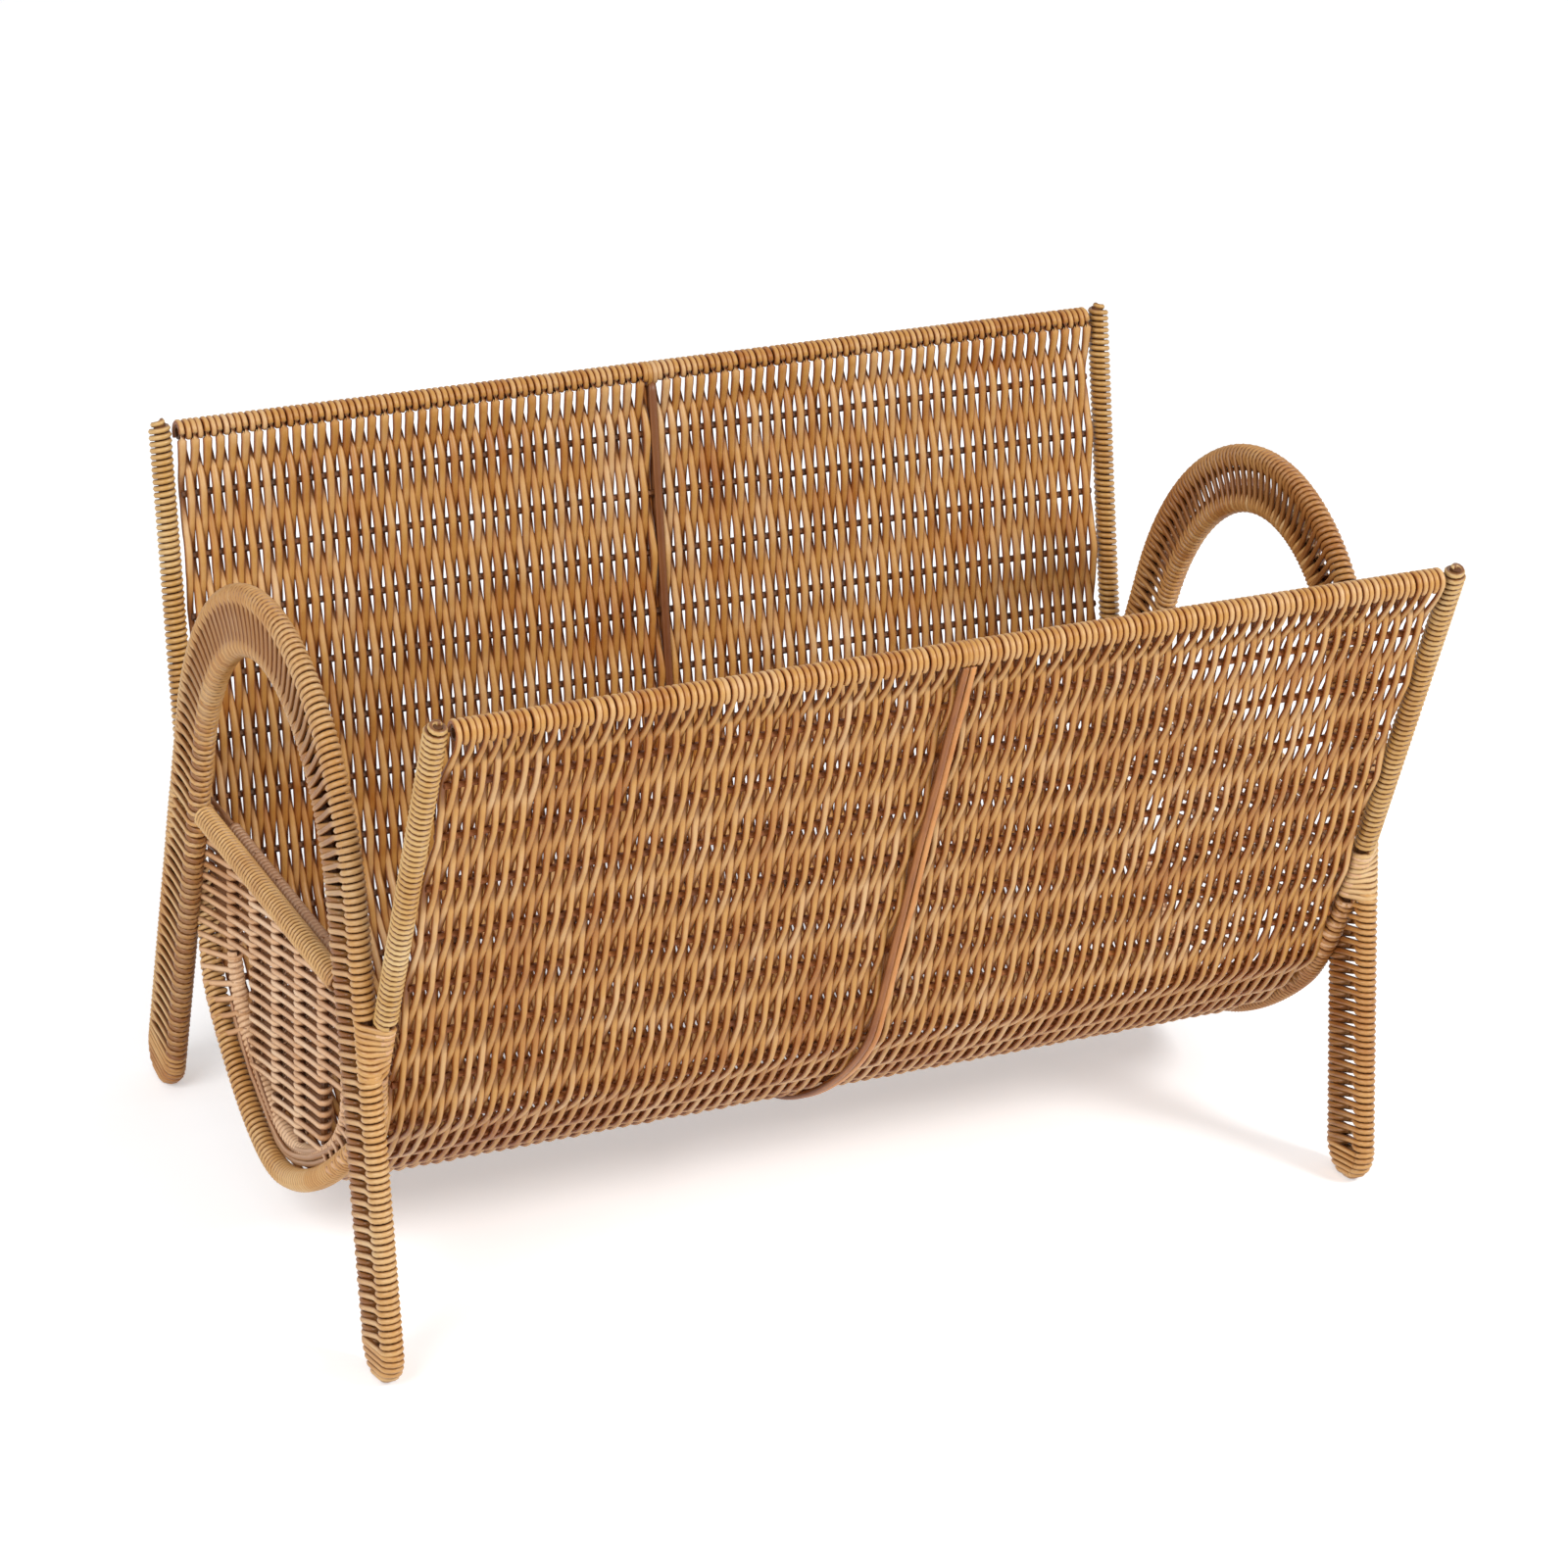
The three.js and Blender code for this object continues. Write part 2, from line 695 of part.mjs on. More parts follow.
// One half of the weave, from the seam rib to the end frame, with tunnels for what it wraps.
function weave() {
  const shape = weaveOutline();
  const hole = (place, radius, sides) => {
    const corners = circlePoints(flatsAt(radius, sides), sides).reverse();
    shape.holes.push(new THREE.Path(corners.map((p) => p.clone().add(place))));
  };
  [-1, 1].forEach((side) => {
    stakePlaces().forEach((s) => hole(sectionAt(side * s).place, stakeRadius + clearance, tunnelSides));
    hole(sectionAt(side * halfLength).place, railRadius + clearance, railSides);
  });
  return alongX(shape, seamRadius + clearance, trimX);
}

// Materials.

function material(color, roughness, metalness) {
  return new THREE.MeshStandardMaterial({ color, roughness, metalness });
}

const looks = {
  cane: () => material(0xb97a3c, 0.55, 0),
  woundCane: () => material(0xc9954f, 0.5, 0),
  iron: () => material(0x2b211b, 0.6, 0.8),
};

// Assembly.

const basket = new THREE.Group();

function add(name, geometry, look) {
  const mesh = new THREE.Mesh(geometry, look());
  mesh.name = name;
  basket.add(mesh);
}

// A mirror image in X or Y, with its faces turned to point outward again.
function mirror(geometry, x, y) {
  const copy = geometry.clone().applyMatrix4(new THREE.Matrix4().makeScale(x, y, 1));
  if (x * y > 0) return copy;
  const flipped = copy.index ? copy : mergeVertices(copy);
  const order = flipped.index.array;
  for (let i = 0; i < order.length; i += 3) [order[i], order[i + 1]] = [order[i + 1], order[i]];
  return flipped;
}

function addEnd(end, x) {
  add(`${end}_end_frame`, mirror(endFrame(), x, 1), looks.iron);
  add(`${end}_bottom_winding`, mirror(bottomWinding(), x, 1), looks.woundCane);
  add(`${end}_arch_rod`, mirror(archRod(), x, 1), looks.iron);
  add(`${end}_arch_winding`, mirror(archWinding(), x, 1), looks.woundCane);
  add(`${end}_rim_bar`, mirror(rimBar(), x, 1), looks.woundCane);
  add(`${end}_end_panel`, mirror(endPanel(), x, 1), looks.cane);
  add(`${end}_border_rib`, mirror(borderRib(), x, 1), looks.iron);
  ribPlaces().forEach((y, i) => add(`${end}_rib_${i + 1}`, mirror(straightRib(y), x, 1), looks.iron));
  add(`${end}_weave`, mirror(weave(), x, 1), looks.cane);
  Object.entries({ front: -1, back: 1 }).forEach(([face, y]) => {
    add(`${end}_${face}_arm_winding`, mirror(armWinding(), x, y), looks.woundCane);
    add(`${end}_${face}_binding`, mirror(binding(), x, y), looks.woundCane);
  });
}

function addTrough() {
  add('seam_rib', seamRib(), looks.cane);
  Object.entries({ front: -1, back: 1 }).forEach(([face, y]) => {
    add(`${face}_top_rail`, topRail(y), looks.iron);
    stakePlaces().forEach((s, i) => {
      const number = String(i + 1).padStart(2, '0');
      add(`${face}_stake_${number}`, stake(y * s), looks.iron);
    });
  });
}

addTrough();
addEnd('left', -1);
addEnd('right', 1);

const turnGap = leastGap(bindingStations(), bindingSteps, cane / 2);
console.log(`Least gap between the turns of a binding: ${turnGap.toFixed(2)} mm`);

export default basket;
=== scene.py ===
# %% [markdown]
# # A woven cane magazine basket
# An open trough stands between two arches. The arches are its legs below and its handles
# above. Every wire of the real basket is wound or woven with one thin strand of cane, and
# that strand is what the eye sees. So this lesson models the strand itself: a flat oval
# tube that is swept along many paths. The wires come from the CAD frame.

# %% Load the frame
import math

import bpy
import numpy as np
from mathutils import Matrix


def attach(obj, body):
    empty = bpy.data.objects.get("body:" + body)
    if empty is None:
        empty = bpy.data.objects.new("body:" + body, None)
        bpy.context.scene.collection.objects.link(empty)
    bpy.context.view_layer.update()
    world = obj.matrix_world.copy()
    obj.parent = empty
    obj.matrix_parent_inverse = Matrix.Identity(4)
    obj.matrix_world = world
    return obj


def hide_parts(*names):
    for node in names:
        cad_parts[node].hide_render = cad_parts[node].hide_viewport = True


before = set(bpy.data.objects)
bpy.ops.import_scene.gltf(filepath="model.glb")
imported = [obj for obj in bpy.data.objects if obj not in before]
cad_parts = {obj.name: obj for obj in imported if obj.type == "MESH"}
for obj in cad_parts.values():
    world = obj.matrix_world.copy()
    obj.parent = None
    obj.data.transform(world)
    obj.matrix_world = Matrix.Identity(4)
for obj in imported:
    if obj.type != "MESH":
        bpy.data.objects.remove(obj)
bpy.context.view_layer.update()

# %% [markdown]
# ## Sizes
# The CAD frame settles every size, and these are the same values in millimetres, because
# the strands follow the wires of that frame. MM turns them to Blender's metres. A strand of
# cane is 2.8 mm wide and 2.4 mm thick, and lies every 2.75 mm, so neighbours just touch.
# One seeded generator gives every random offset, so each run makes the same basket.

# %% Sizes in millimetres
MM = 0.001
FRAME_WIRE, STAKE_WIRE, RAIL_TUBE = 5.0, 3.0, 6.0
CANE_WIDTH, CANE_THICK = 2.8, 2.4
STRAND_PITCH = 2.75
MOUTH_HALF, MOUTH_HEIGHT, FLARE = 146.0, 291.0, math.radians(15.0)
BEND_HEIGHT, KEEL_HEIGHT, BEND_HANDLE, KEEL_HANDLE = 103.0, 26.0, 25.0, 33.0
STAKES_PER_SIDE, WIRE_TOP = 12, 5.0
FRAME_X = 220.0
ARCH_HALF, ARCH_RISE, SPRING, SPLAY = 87.0, 112.0, 155.0, math.radians(12.85)
ROD_SPREAD, LEAN, CLEAR = 20.0, math.radians(1.2), 0.3
WOUND = FRAME_WIRE / 2 + CANE_THICK / 2
ARCH_X = FRAME_X + FRAME_WIRE + CLEAR
PANEL_X = 216.4
SEED = 7
random = np.random.RandomState(SEED)
print("A strand is", CANE_WIDTH, "by", CANE_THICK, "mm, laid every", STRAND_PITCH, "mm")


# %% [markdown]
# ## The trough's section
# The wall is one U: a straight arm down from each rail and a curve through the keel. A
# place on it is counted by s, the length along the U from the keel, negative in front.
# A table of fine steps is enough to look such places up. The curved part is a Bezier curve,
# the same that the CAD frame uses, and its handles say where it leaves the arm and the keel.

# %% A Bezier curve as points
def bezier(handles, steps):
    share = np.linspace(0, 1, steps)[:, None]
    weights = [(1 - share) ** 3, 3 * (1 - share) ** 2 * share, 3 * (1 - share) * share ** 2, share ** 3]
    return sum(weight * np.array(handle) for weight, handle in zip(weights, handles))


# %% The section as a table
SECTION_STEPS = 801


def make_section():
    rail = np.array([MOUTH_HALF, MOUTH_HEIGHT])
    down = np.array([-math.sin(FLARE), -math.cos(FLARE)])
    bend = rail + down * (MOUTH_HEIGHT - BEND_HEIGHT) / math.cos(FLARE)
    handles = [bend, bend + down * BEND_HANDLE, [KEEL_HANDLE, KEEL_HEIGHT], [0.0, KEEL_HEIGHT]]
    share = np.linspace(0, 1, SECTION_STEPS)[:, None]
    curve = bezier(handles, SECTION_STEPS)
    points = np.vstack([rail + (bend - rail) * share, curve[1:]])[::-1]
    length = np.r_[0, np.cumsum(np.hypot(*np.diff(points, axis=0).T))]
    return length, points


SECTION_S, SECTION_YZ = make_section()
HALF = SECTION_S[-1]
STAKE_PITCH = HALF / (STAKES_PER_SIDE + 0.5)
print("Half of the section is", round(HALF, 1), "mm long; stakes every", round(STAKE_PITCH, 2), "mm")


# %% Places on the section
LOOK_AROUND = 0.5


def rising(s):
    """Direction of the section at s, from the keel up, as for the back wall."""
    near = np.minimum(np.abs(s), HALF - LOOK_AROUND)
    low, high = np.maximum(near - LOOK_AROUND, 0), near + LOOK_AROUND
    pair = [[np.interp(at, SECTION_S, SECTION_YZ[:, k]) for k in (0, 1)] for at in (low, high)]
    along = np.stack([pair[1][0] - pair[0][0], pair[1][1] - pair[0][1]], -1)
    along[np.abs(s) < LOOK_AROUND] = (1.0, 0.0)
    return along / np.linalg.norm(along, axis=-1, keepdims=True)


def wall(s, offset):
    """Y and Z at s, an offset outside the section, and the outward direction there."""
    s, offset = np.broadcast_arrays(np.asarray(s, float), np.asarray(offset, float))
    near = np.minimum(np.abs(s), HALF)
    y = np.interp(near, SECTION_S, SECTION_YZ[:, 0])
    z = np.interp(near, SECTION_S, SECTION_YZ[:, 1])
    up = rising(s)
    beyond = np.maximum(np.abs(s) - HALF, 0)
    y, z = y + up[..., 0] * beyond, z + up[..., 1] * beyond
    out_y, out_z = up[..., 1], -up[..., 0]
    side = np.where(s < 0, -1.0, 1.0)
    return side * (y + offset * out_y), z + offset * out_z, np.stack([side * out_y, out_z], -1)


def s_at_height(z):
    return float(np.interp(z, SECTION_YZ[:, 1], SECTION_S))


# %% [markdown]
# ## Sweeping a strand
# Blender's curve bevel could draw these tubes, but a strand of cane is flat: its wide side
# has to face outward all along the path. So each mesh is made from arrays: a ring of points
# at every place of a path, joined by quads. Four attributes go with the points, for the
# material: which strand it is, how far along it is, which side of it faces outward, and
# how deep that side lies behind its neighbours. The last comes from a level for each point
# of the path, from -1 at the back to 1 in front, and it paints shade: the material darkens
# the sides that lie back, where shade would fall.

# %% Rings and faces of one strand
def strand_rings(points, outward, level, angles, width, thick, swell):
    """Points of the ring at each place of a path. It is wider at the back, by the swell."""
    run = np.gradient(points, axis=0)
    run /= np.linalg.norm(run, axis=1, keepdims=True)
    out = outward - (outward * run).sum(1, keepdims=True) * run
    out /= np.linalg.norm(out, axis=1, keepdims=True)
    across = np.cross(run, out)
    half_width = width / 2 * (1 - swell * level)[:, None, None]
    sideways = across[:, None] * np.cos(angles)[None, :, None] * half_width
    outwards = out[:, None] * (np.sin(angles) * thick / 2)[None, :, None]
    return (points[:, None] + sideways + outwards).reshape(-1, 3)


def strand_quads(base, count, sides):
    """Faces between each ring and the next, as numbers of points from base on."""
    start = base + np.arange(count - 1)[:, None] * sides
    near = np.arange(sides)[None]
    far = (near + 1) % sides
    corners = [start + near, start + far, start + sides + far, start + sides + near]
    return np.stack(corners, -1).reshape(-1, 4)


# %% A mesh from its points, quads and end caps
def fill_mesh(mesh, points, quads, caps, sides):
    corners = np.concatenate([quads.ravel(), np.concatenate(caps)])
    starts = np.r_[np.arange(len(quads)) * 4, len(quads) * 4 + np.arange(len(caps)) * sides]
    mesh.vertices.add(len(points))
    mesh.vertices.foreach_set("co", points.ravel())
    mesh.loops.add(len(corners))
    mesh.loops.foreach_set("vertex_index", corners.astype(np.int32))
    mesh.polygons.add(len(starts))
    mesh.polygons.foreach_set("loop_start", starts.astype(np.int32))
    mesh.update(calc_edges=True)
    mesh.validate()
    mesh.polygons.foreach_set("use_smooth", np.ones(len(mesh.polygons), bool))


# %% One piece from many strands
# Six sides are enough for a strand that is a few pixels wide.
SIDES = 6
LONGEST_START = 700


def make_piece(name, paths, width, thick, sides, material, nodes, swell=0.0):
    """A path is (points, outward), both N x 3 in millimetres, and may have its levels third."""
    angles = 2 * np.pi * (np.arange(sides) + 0.5) / sides
    rings, quads, caps = [], [], []
    marks = {"strand": [], "along_mm": [], "crown": [], "painted_shade_depth": []}
    base = 0
    for points, outward, *levels in paths:
        count = len(points)
        level = levels[0] if levels else np.zeros(count)
        rings.append(strand_rings(points, outward, level, angles, width, thick, swell))
        quads.append(strand_quads(base, count, sides))
        caps += [base + np.arange(sides)[::-1], base + (count - 1) * sides + np.arange(sides)]
        length = np.r_[0, np.cumsum(np.linalg.norm(np.diff(points, axis=0), axis=1))]
        marks["strand"].append(np.full(count * sides, random.rand()))
        marks["along_mm"].append(np.repeat(length + LONGEST_START * random.rand(), sides))
        marks["crown"].append(np.tile(np.sin(angles), count))
        # Painted shade: where the level is below 0 the side facing out darkens, and above 0 the side
        # facing in.
        marks["painted_shade_depth"].append((-level[:, None] * np.sin(angles)[None]).ravel())
        base += count * sides
    mesh = bpy.data.meshes.new(name)
    fill_mesh(mesh, np.concatenate(rings) * MM, np.concatenate(quads), caps, sides)
    for key, values in marks.items():
        mesh.attributes.new(key, "FLOAT", "POINT").data.foreach_set("value", np.concatenate(values))
    mesh.materials.append(material)
    piece = bpy.data.objects.new(name, mesh)
    bpy.context.scene.collection.objects.link(piece)
    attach(piece, "root")
    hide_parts(*nodes)
    print(name, "has", len(paths), "strands and", len(mesh.polygons), "faces")
    return piece


# %% [markdown]
# ## Colours and nodes
# Colours are written as hex values, the way a picture shows them. Blender's shaders count
# light in linear values, so one function turns the one into the other.

# %% Colour and node helpers
def linear(hex_colour):
    channels = [int(hex_colour[i:i + 2], 16) / 255 for i in (1, 3, 5)]
    return [c / 12.92 if c <= 0.04045 else ((c + 0.055) / 1.055) ** 2.4 for c in channels] + [1.0]


def add(tree, kind, links=None, settings=None, **inputs):
    """Adds a node, sets its properties and sockets, and links other nodes' outputs to it."""
    node = tree.nodes.new(kind)
    for key, value in (settings or {}).items():
        setattr(node, key, value)
    for key, value in inputs.items():
        node.inputs[key.replace("_", " ")].default_value = value
    for key, output in (links or {}).items():
        tree.links.new(output, node.inputs[key])
    return node


def new_material(name):
    material = bpy.data.materials.new(name)
    material.use_nodes = True
    material.node_tree.nodes.clear()
    return material, material.node_tree


def set_ramp(node, stops):
    ramp = node.color_ramp
    while len(ramp.elements) < len(stops):
        ramp.elements.new(0.5)
    for element, (place, colour) in zip(ramp.elements, stops):
        element.position, element.color = place, linear(colour)


# %% [markdown]
# ## Varnished cane
# Cane is the skin or the core of a rattan stem, split into strands. It is pale straw to
# honey, with fine fibres along it. Two mixes make its colour: a ramp by strand, by slow
# blotches of 42 mm and by fibres, and a red brown painted shade on the flanks that face a
# neighbour and in the hollows between the strands.
# The fibres are 0.3 mm wide on the real thing, finer than a pixel here, so they are drawn
# twice as wide. Varnish is a clear plastic of IOR 1.5: it gives a satin sheen and a thin
# coat over it, and no more, because the fibres break up any mirror. The pattern could come
# from a picture of cane, but noise that follows each strand's own length never repeats.

# %% Tone of the cane
FIBRE_MM = 0.6
FIBRE_STRETCH = 0.08
FIBRES_ACROSS, STRANDS_APART = 2.0, 97.0
BLOTCH_MM = 42.0
BLOTCH_SHARE, BLOTCH_OFFSET = 1.1, -0.3
STRAND_SHARE, FIBRE_SHARE, TONE_OFFSET = 0.36, 0.5, 0.18


def cane_fibres(tree, strand, crown):
    """Noise that is long along the strand and different on each one."""
    along = add(tree, "ShaderNodeAttribute", settings={"attribute_name": "along_mm"})
    place = add(tree, "ShaderNodeCombineXYZ")
    for axis, source, scale in (("X", along, FIBRE_STRETCH / FIBRE_MM),
                                ("Y", crown, FIBRES_ACROSS), ("Z", strand, STRANDS_APART)):
        part = add(tree, "ShaderNodeMath", {0: source.outputs["Fac"]}, {"operation": "MULTIPLY"})
        part.inputs[1].default_value = scale
        tree.links.new(part.outputs[0], place.inputs[axis])
    return add(tree, "ShaderNodeTexNoise", {"Vector": place.outputs[0]}, Scale=1.0, Detail=4.0)


def cane_tone(tree, strand, fibre):
    """From 0, dark, to 1, pale: blotches, then each strand's own tone, then the fibres."""
    place = add(tree, "ShaderNodeTexCoord")
    blotch = add(tree, "ShaderNodeTexNoise", {"Vector": place.outputs["Object"]},
                 Scale=1 / (BLOTCH_MM * MM), Detail=3.0)
    blotch_part = add(tree, "ShaderNodeMath", {0: blotch.outputs["Fac"]}, {"operation": "MULTIPLY_ADD"})
    blotch_part.inputs[1].default_value = BLOTCH_SHARE
    blotch_part.inputs[2].default_value = BLOTCH_OFFSET
    strand_part = add(tree, "ShaderNodeMath", {0: strand.outputs["Fac"], 2: blotch_part.outputs[0]},
                      {"operation": "MULTIPLY_ADD"})
    strand_part.inputs[1].default_value = STRAND_SHARE
    fibre_part = add(tree, "ShaderNodeMath", {0: fibre.outputs["Fac"], 2: strand_part.outputs[0]},
                     {"operation": "MULTIPLY_ADD"})
    fibre_part.inputs[1].default_value = FIBRE_SHARE
    tone = add(tree, "ShaderNodeMath", {0: fibre_part.outputs[0]}, {"operation": "SUBTRACT"})
    tone.inputs[1].default_value = TONE_OFFSET
    return tone


# %% Painted shade of the cane
# Painted shade darkens a strand's flanks, and the sides of it that lie behind others.
FLANK_FROM, FLANK_TO = 0.92, 0.25
HOLLOW_FROM, HOLLOW_TO, HOLLOW_SHADE = -0.15, 0.75, 0.75


def cane_painted_shade(tree, crown, flank_shade):
    """How much painted shade shows: on a strand's flanks, and where it lies behind others."""
    face = add(tree, "ShaderNodeMath", {0: crown.outputs["Fac"]}, {"operation": "ABSOLUTE"})
    painted_shade_depth = add(tree, "ShaderNodeAttribute", settings={"attribute_name": "painted_shade_depth"})
    parts = []
    for source, start, stop, most in ((face.outputs[0], FLANK_FROM, FLANK_TO, flank_shade),
                                      (painted_shade_depth.outputs["Fac"], HOLLOW_FROM, HOLLOW_TO, HOLLOW_SHADE)):
        part = add(tree, "ShaderNodeMapRange", {"Value": source}, {"interpolation_type": "SMOOTHSTEP"})
        for key, value in (("From Min", start), ("From Max", stop), ("To Min", 0.0), ("To Max", most)):
            part.inputs[key].default_value = value
        parts.append(part.outputs[0])
    return add(tree, "ShaderNodeMath", dict(enumerate(parts)), {"operation": "MAXIMUM"})


# %% Cane material
def cane_material(name, pale, honey, dark, shade_colour, flank_shade, roughness):
    material, tree = new_material(name)
    strand = add(tree, "ShaderNodeAttribute", settings={"attribute_name": "strand"})
    crown = add(tree, "ShaderNodeAttribute", settings={"attribute_name": "crown"})
    fibre = cane_fibres(tree, strand, crown)
    ramp = add(tree, "ShaderNodeValToRGB", {"Fac": cane_tone(tree, strand, fibre).outputs[0]})
    set_ramp(ramp, [(0.05, dark), (0.5, honey), (0.95, pale)])
    # This mix paints shade: it blends the ramp towards the dark shade colour.
    mix = add(tree, "ShaderNodeMix", {"Factor": cane_painted_shade(tree, crown, flank_shade).outputs[0]},
              {"data_type": "RGBA"})
    colour_in = [socket for socket in mix.inputs if socket.type == "RGBA"]
    colour_out = [socket for socket in mix.outputs if socket.type == "RGBA"][0]
    tree.links.new(ramp.outputs["Color"], colour_in[0])
    colour_in[1].default_value = linear(shade_colour)
    bump = add(tree, "ShaderNodeBump", {"Height": fibre.outputs["Fac"]}, Strength=0.25, Distance=0.2 * MM)
    shader = add(tree, "ShaderNodeBsdfPrincipled", {"Base Color": colour_out, "Normal": bump.outputs[0]},
                 Roughness=roughness, IOR=1.5, Coat_Weight=0.05, Coat_Roughness=0.3)
    add(tree, "ShaderNodeOutputMaterial", {"Surface": shader.outputs[0]})
    print(name, "has", len(tree.nodes), "nodes")
    return material


# %% Six tones of one cane
# Each cane's fourth colour is its painted shade, and the next number how much the flanks take.
# Strands of the walls: honey crowns, and orange painted shade between them.
WOVEN = cane_material("varnished_cane_woven", "#DCB482", "#C8934B", "#A4621A", "#843A00", 0.9, 0.45)
# Windings: a little paler and smoother, since only their crowns show.
WOUND_CANE = cane_material("varnished_cane_wound", "#E6C48E", "#CF9C5A", "#A8682A", "#74390A", 0.85, 0.42)
# The seam's strips are red brown right through, with the same satin sheen: the outside
# strip's own colour, and painted shade for the strip inside.
SEAM_CANE = cane_material("dark_seam_cane", "#DD9E5C", "#C47C38", "#93501A", "#4E2108", 0.7, 0.45)
# The arms are painted paler, for the key light that falls on them: straw crowns over brown gaps.
ARM_CANE = cane_material("varnished_cane_arms", "#E8CA92", "#CC9E58", "#A06424", "#6E360A", 0.9, 0.42)
# The rim bars lie in the open, so they are the palest and the smoothest.
RIM_CANE = cane_material("varnished_cane_rim", "#F0D6A4", "#DDB070", "#B0763A", "#6E3A0C", 0.85, 0.4)
# The end panels' thin strands are a pinkish straw, as dull as the walls.
PANEL_CANE = cane_material("varnished_cane_panel", "#F2CFA8", "#E0B082", "#B27A44", "#6E360C", 0.8, 0.45)

# %% [markdown]
# ## Lacquered iron wire
# The stakes, ribs and frames are drawn iron wire with a dull dark lacquer. Little of it
# shows, so a change of tone every 6 mm and a rough surface are all that it needs. One noise
# drives both tone and grain, as rust and pits go together. The front wall's stakes get a
# lighter, warmer brown copy of the same wire, with the same dull surface, so that they show
# brown rather than black in that wall's pockets.

# %% Wire material
RUST_MM = 6


def wire_material(name, deep, middle, worn):
    material, tree = new_material(name)
    place = add(tree, "ShaderNodeTexCoord")
    rust = add(tree, "ShaderNodeTexNoise", {"Vector": place.outputs["Object"]},
               Scale=1 / (RUST_MM * MM), Detail=5.0)
    tone = add(tree, "ShaderNodeValToRGB", {"Fac": rust.outputs["Fac"]})
    set_ramp(tone, [(0.3, deep), (0.55, middle), (0.8, worn)])
    grain = add(tree, "ShaderNodeBump", {"Height": rust.outputs["Fac"]}, Strength=0.3, Distance=0.1 * MM)
    lacquer = add(tree, "ShaderNodeBsdfPrincipled",
                  {"Base Color": tone.outputs["Color"], "Normal": grain.outputs[0]},
                  Metallic=0.2, Roughness=0.6)
    add(tree, "ShaderNodeOutputMaterial", {"Surface": lacquer.outputs[0]})
    return material


iron = wire_material("lacquered_iron_wire", "#452810", "#653B18", "#8A5424")
# A lighter, warmer copy of the same wire, for the front wall's stakes.
front_iron = wire_material("lighter_front_iron_wire", "#6A360A", "#8A4A12", "#A8641E")
for node_name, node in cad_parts.items():
    node.data.materials.clear()
    node.data.materials.append(front_iron if node_name.startswith("front_stake") else iron)
print("Wire material on", len(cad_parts), "CAD nodes")


# %% [markdown]
# ## The trough's weave
# Cane strands run over the whole section, from the front rail under the keel to the back
# rail. Each passes outside one stake and inside the next, and its neighbour does the
# opposite. That is why the wall shows a brick pattern of long highlights, and why light
# comes through beside each stake. A strand crosses under the rail and then wraps over it,
# so that the rail is covered on both sides. It is pulled taut, so between two stakes it runs
# nearly straight, and it is pressed a little wider where it lies behind one. A bumpy sheet
# would be simpler, but no light could pass through it, so every strand is its own path.

# %% Slow handmade drift
# Three waves seldom peak together, so their sum is divided by less than its greatest value.
DRIFT_WAVES = (1.0, 0.47, 0.21)
DRIFT_PEAK = 1.3


def drift(s, size, reach):
    """A smooth random offset along s, for strands that no hand lays quite straight."""
    total = np.zeros_like(s)
    for share in DRIFT_WAVES:
        total += share * np.sin(2 * np.pi * (s / (reach * share) + random.rand()))
    return size * total / DRIFT_PEAK


# %% How deep a strand lies
# TAUT near 1 makes straight runs and sharp bends, and TAUT_PEAK brings a bend to full depth.
PRESSED = 0.7
WAVE = STAKE_WIRE / 2 + CANE_THICK / 2 - PRESSED
UNEVEN = 0.06
TAUT = 0.97
TAUT_PEAK = 0.844
BAY_STEPS = 8
WALL_REACH = HALF - STAKE_PITCH


def wave_along_wall(parity):
    """Places s between the outermost stakes, and how far outside the wall's middle each is."""
    half_steps = int(round(WALL_REACH / STAKE_PITCH * BAY_STEPS))
    s = np.linspace(-WALL_REACH, WALL_REACH, 2 * half_steps + 1)
    side = 1 if parity else -1
    swing = np.cos(np.pi * (s - WALL_REACH) / STAKE_PITCH)
    taut = (1 - 2 * np.arccos(np.clip(swing * TAUT, -1, 1)) / np.pi) / TAUT_PEAK
    return s, side * WAVE * (1 + UNEVEN * random.randn()) * taut


# %% How a strand goes over a rail
RAIL_WRAP = RAIL_TUBE / 2 + CANE_THICK / 2
TO_RAIL = np.linspace(0, 1, 9)[1:]
OVER_RAIL = np.radians(np.linspace(20, 215, 11))
RAIL_S = np.r_[WALL_REACH + (HALF - WALL_REACH) * TO_RAIL, HALF + RAIL_WRAP * np.sin(OVER_RAIL)]


def rail_depths(depth):
    """From the last stake, at this depth, across to the rail's other side and over it."""
    across = depth + (-np.sign(depth) * RAIL_WRAP - depth) * (1 - np.cos(np.pi * TO_RAIL)) / 2
    return np.r_[across, -np.sign(depth) * RAIL_WRAP * np.cos(OVER_RAIL)]


# %% Strand of the trough
WEAVE_WIDTH, WEAVE_SWELL, WEAVE_SIDES = 3.2, 0.16, 8
SLOW_DRIFT, QUICK_DRIFT = (0.25, 160.0), (0.1, 17.0)
RAIL_LEVEL, RAIL_NEAR = 1.15, 3


def trough_strand(x, parity):
    s, depth = wave_along_wall(parity)
    s_all = np.r_[-RAIL_S[::-1], s, RAIL_S]
    d_all = np.r_[rail_depths(depth[0])[::-1], depth, rail_depths(depth[-1])]
    y, z, out = wall(s_all, d_all)
    xs = x + drift(s_all, *SLOW_DRIFT) + drift(s_all, *QUICK_DRIFT)
    outward = np.stack([np.zeros_like(y), out[:, 0], out[:, 1]], -1)
    around = np.abs(s_all) > HALF - RAIL_NEAR
    rail_y, rail_z, _ = wall(np.sign(s_all) * HALF, 0.0)
    radial = np.stack([np.zeros_like(y), y - rail_y, z - rail_z], -1)
    outward[around] = radial[around]
    # The level paints shade on the side that lies back: outside where a strand passes behind a stake,
    # inside where it passes in front, and inside its wraps over the rails (RAIL_LEVEL).
    return np.stack([xs, y, z], -1), outward, np.where(around, RAIL_LEVEL, d_all / WAVE)


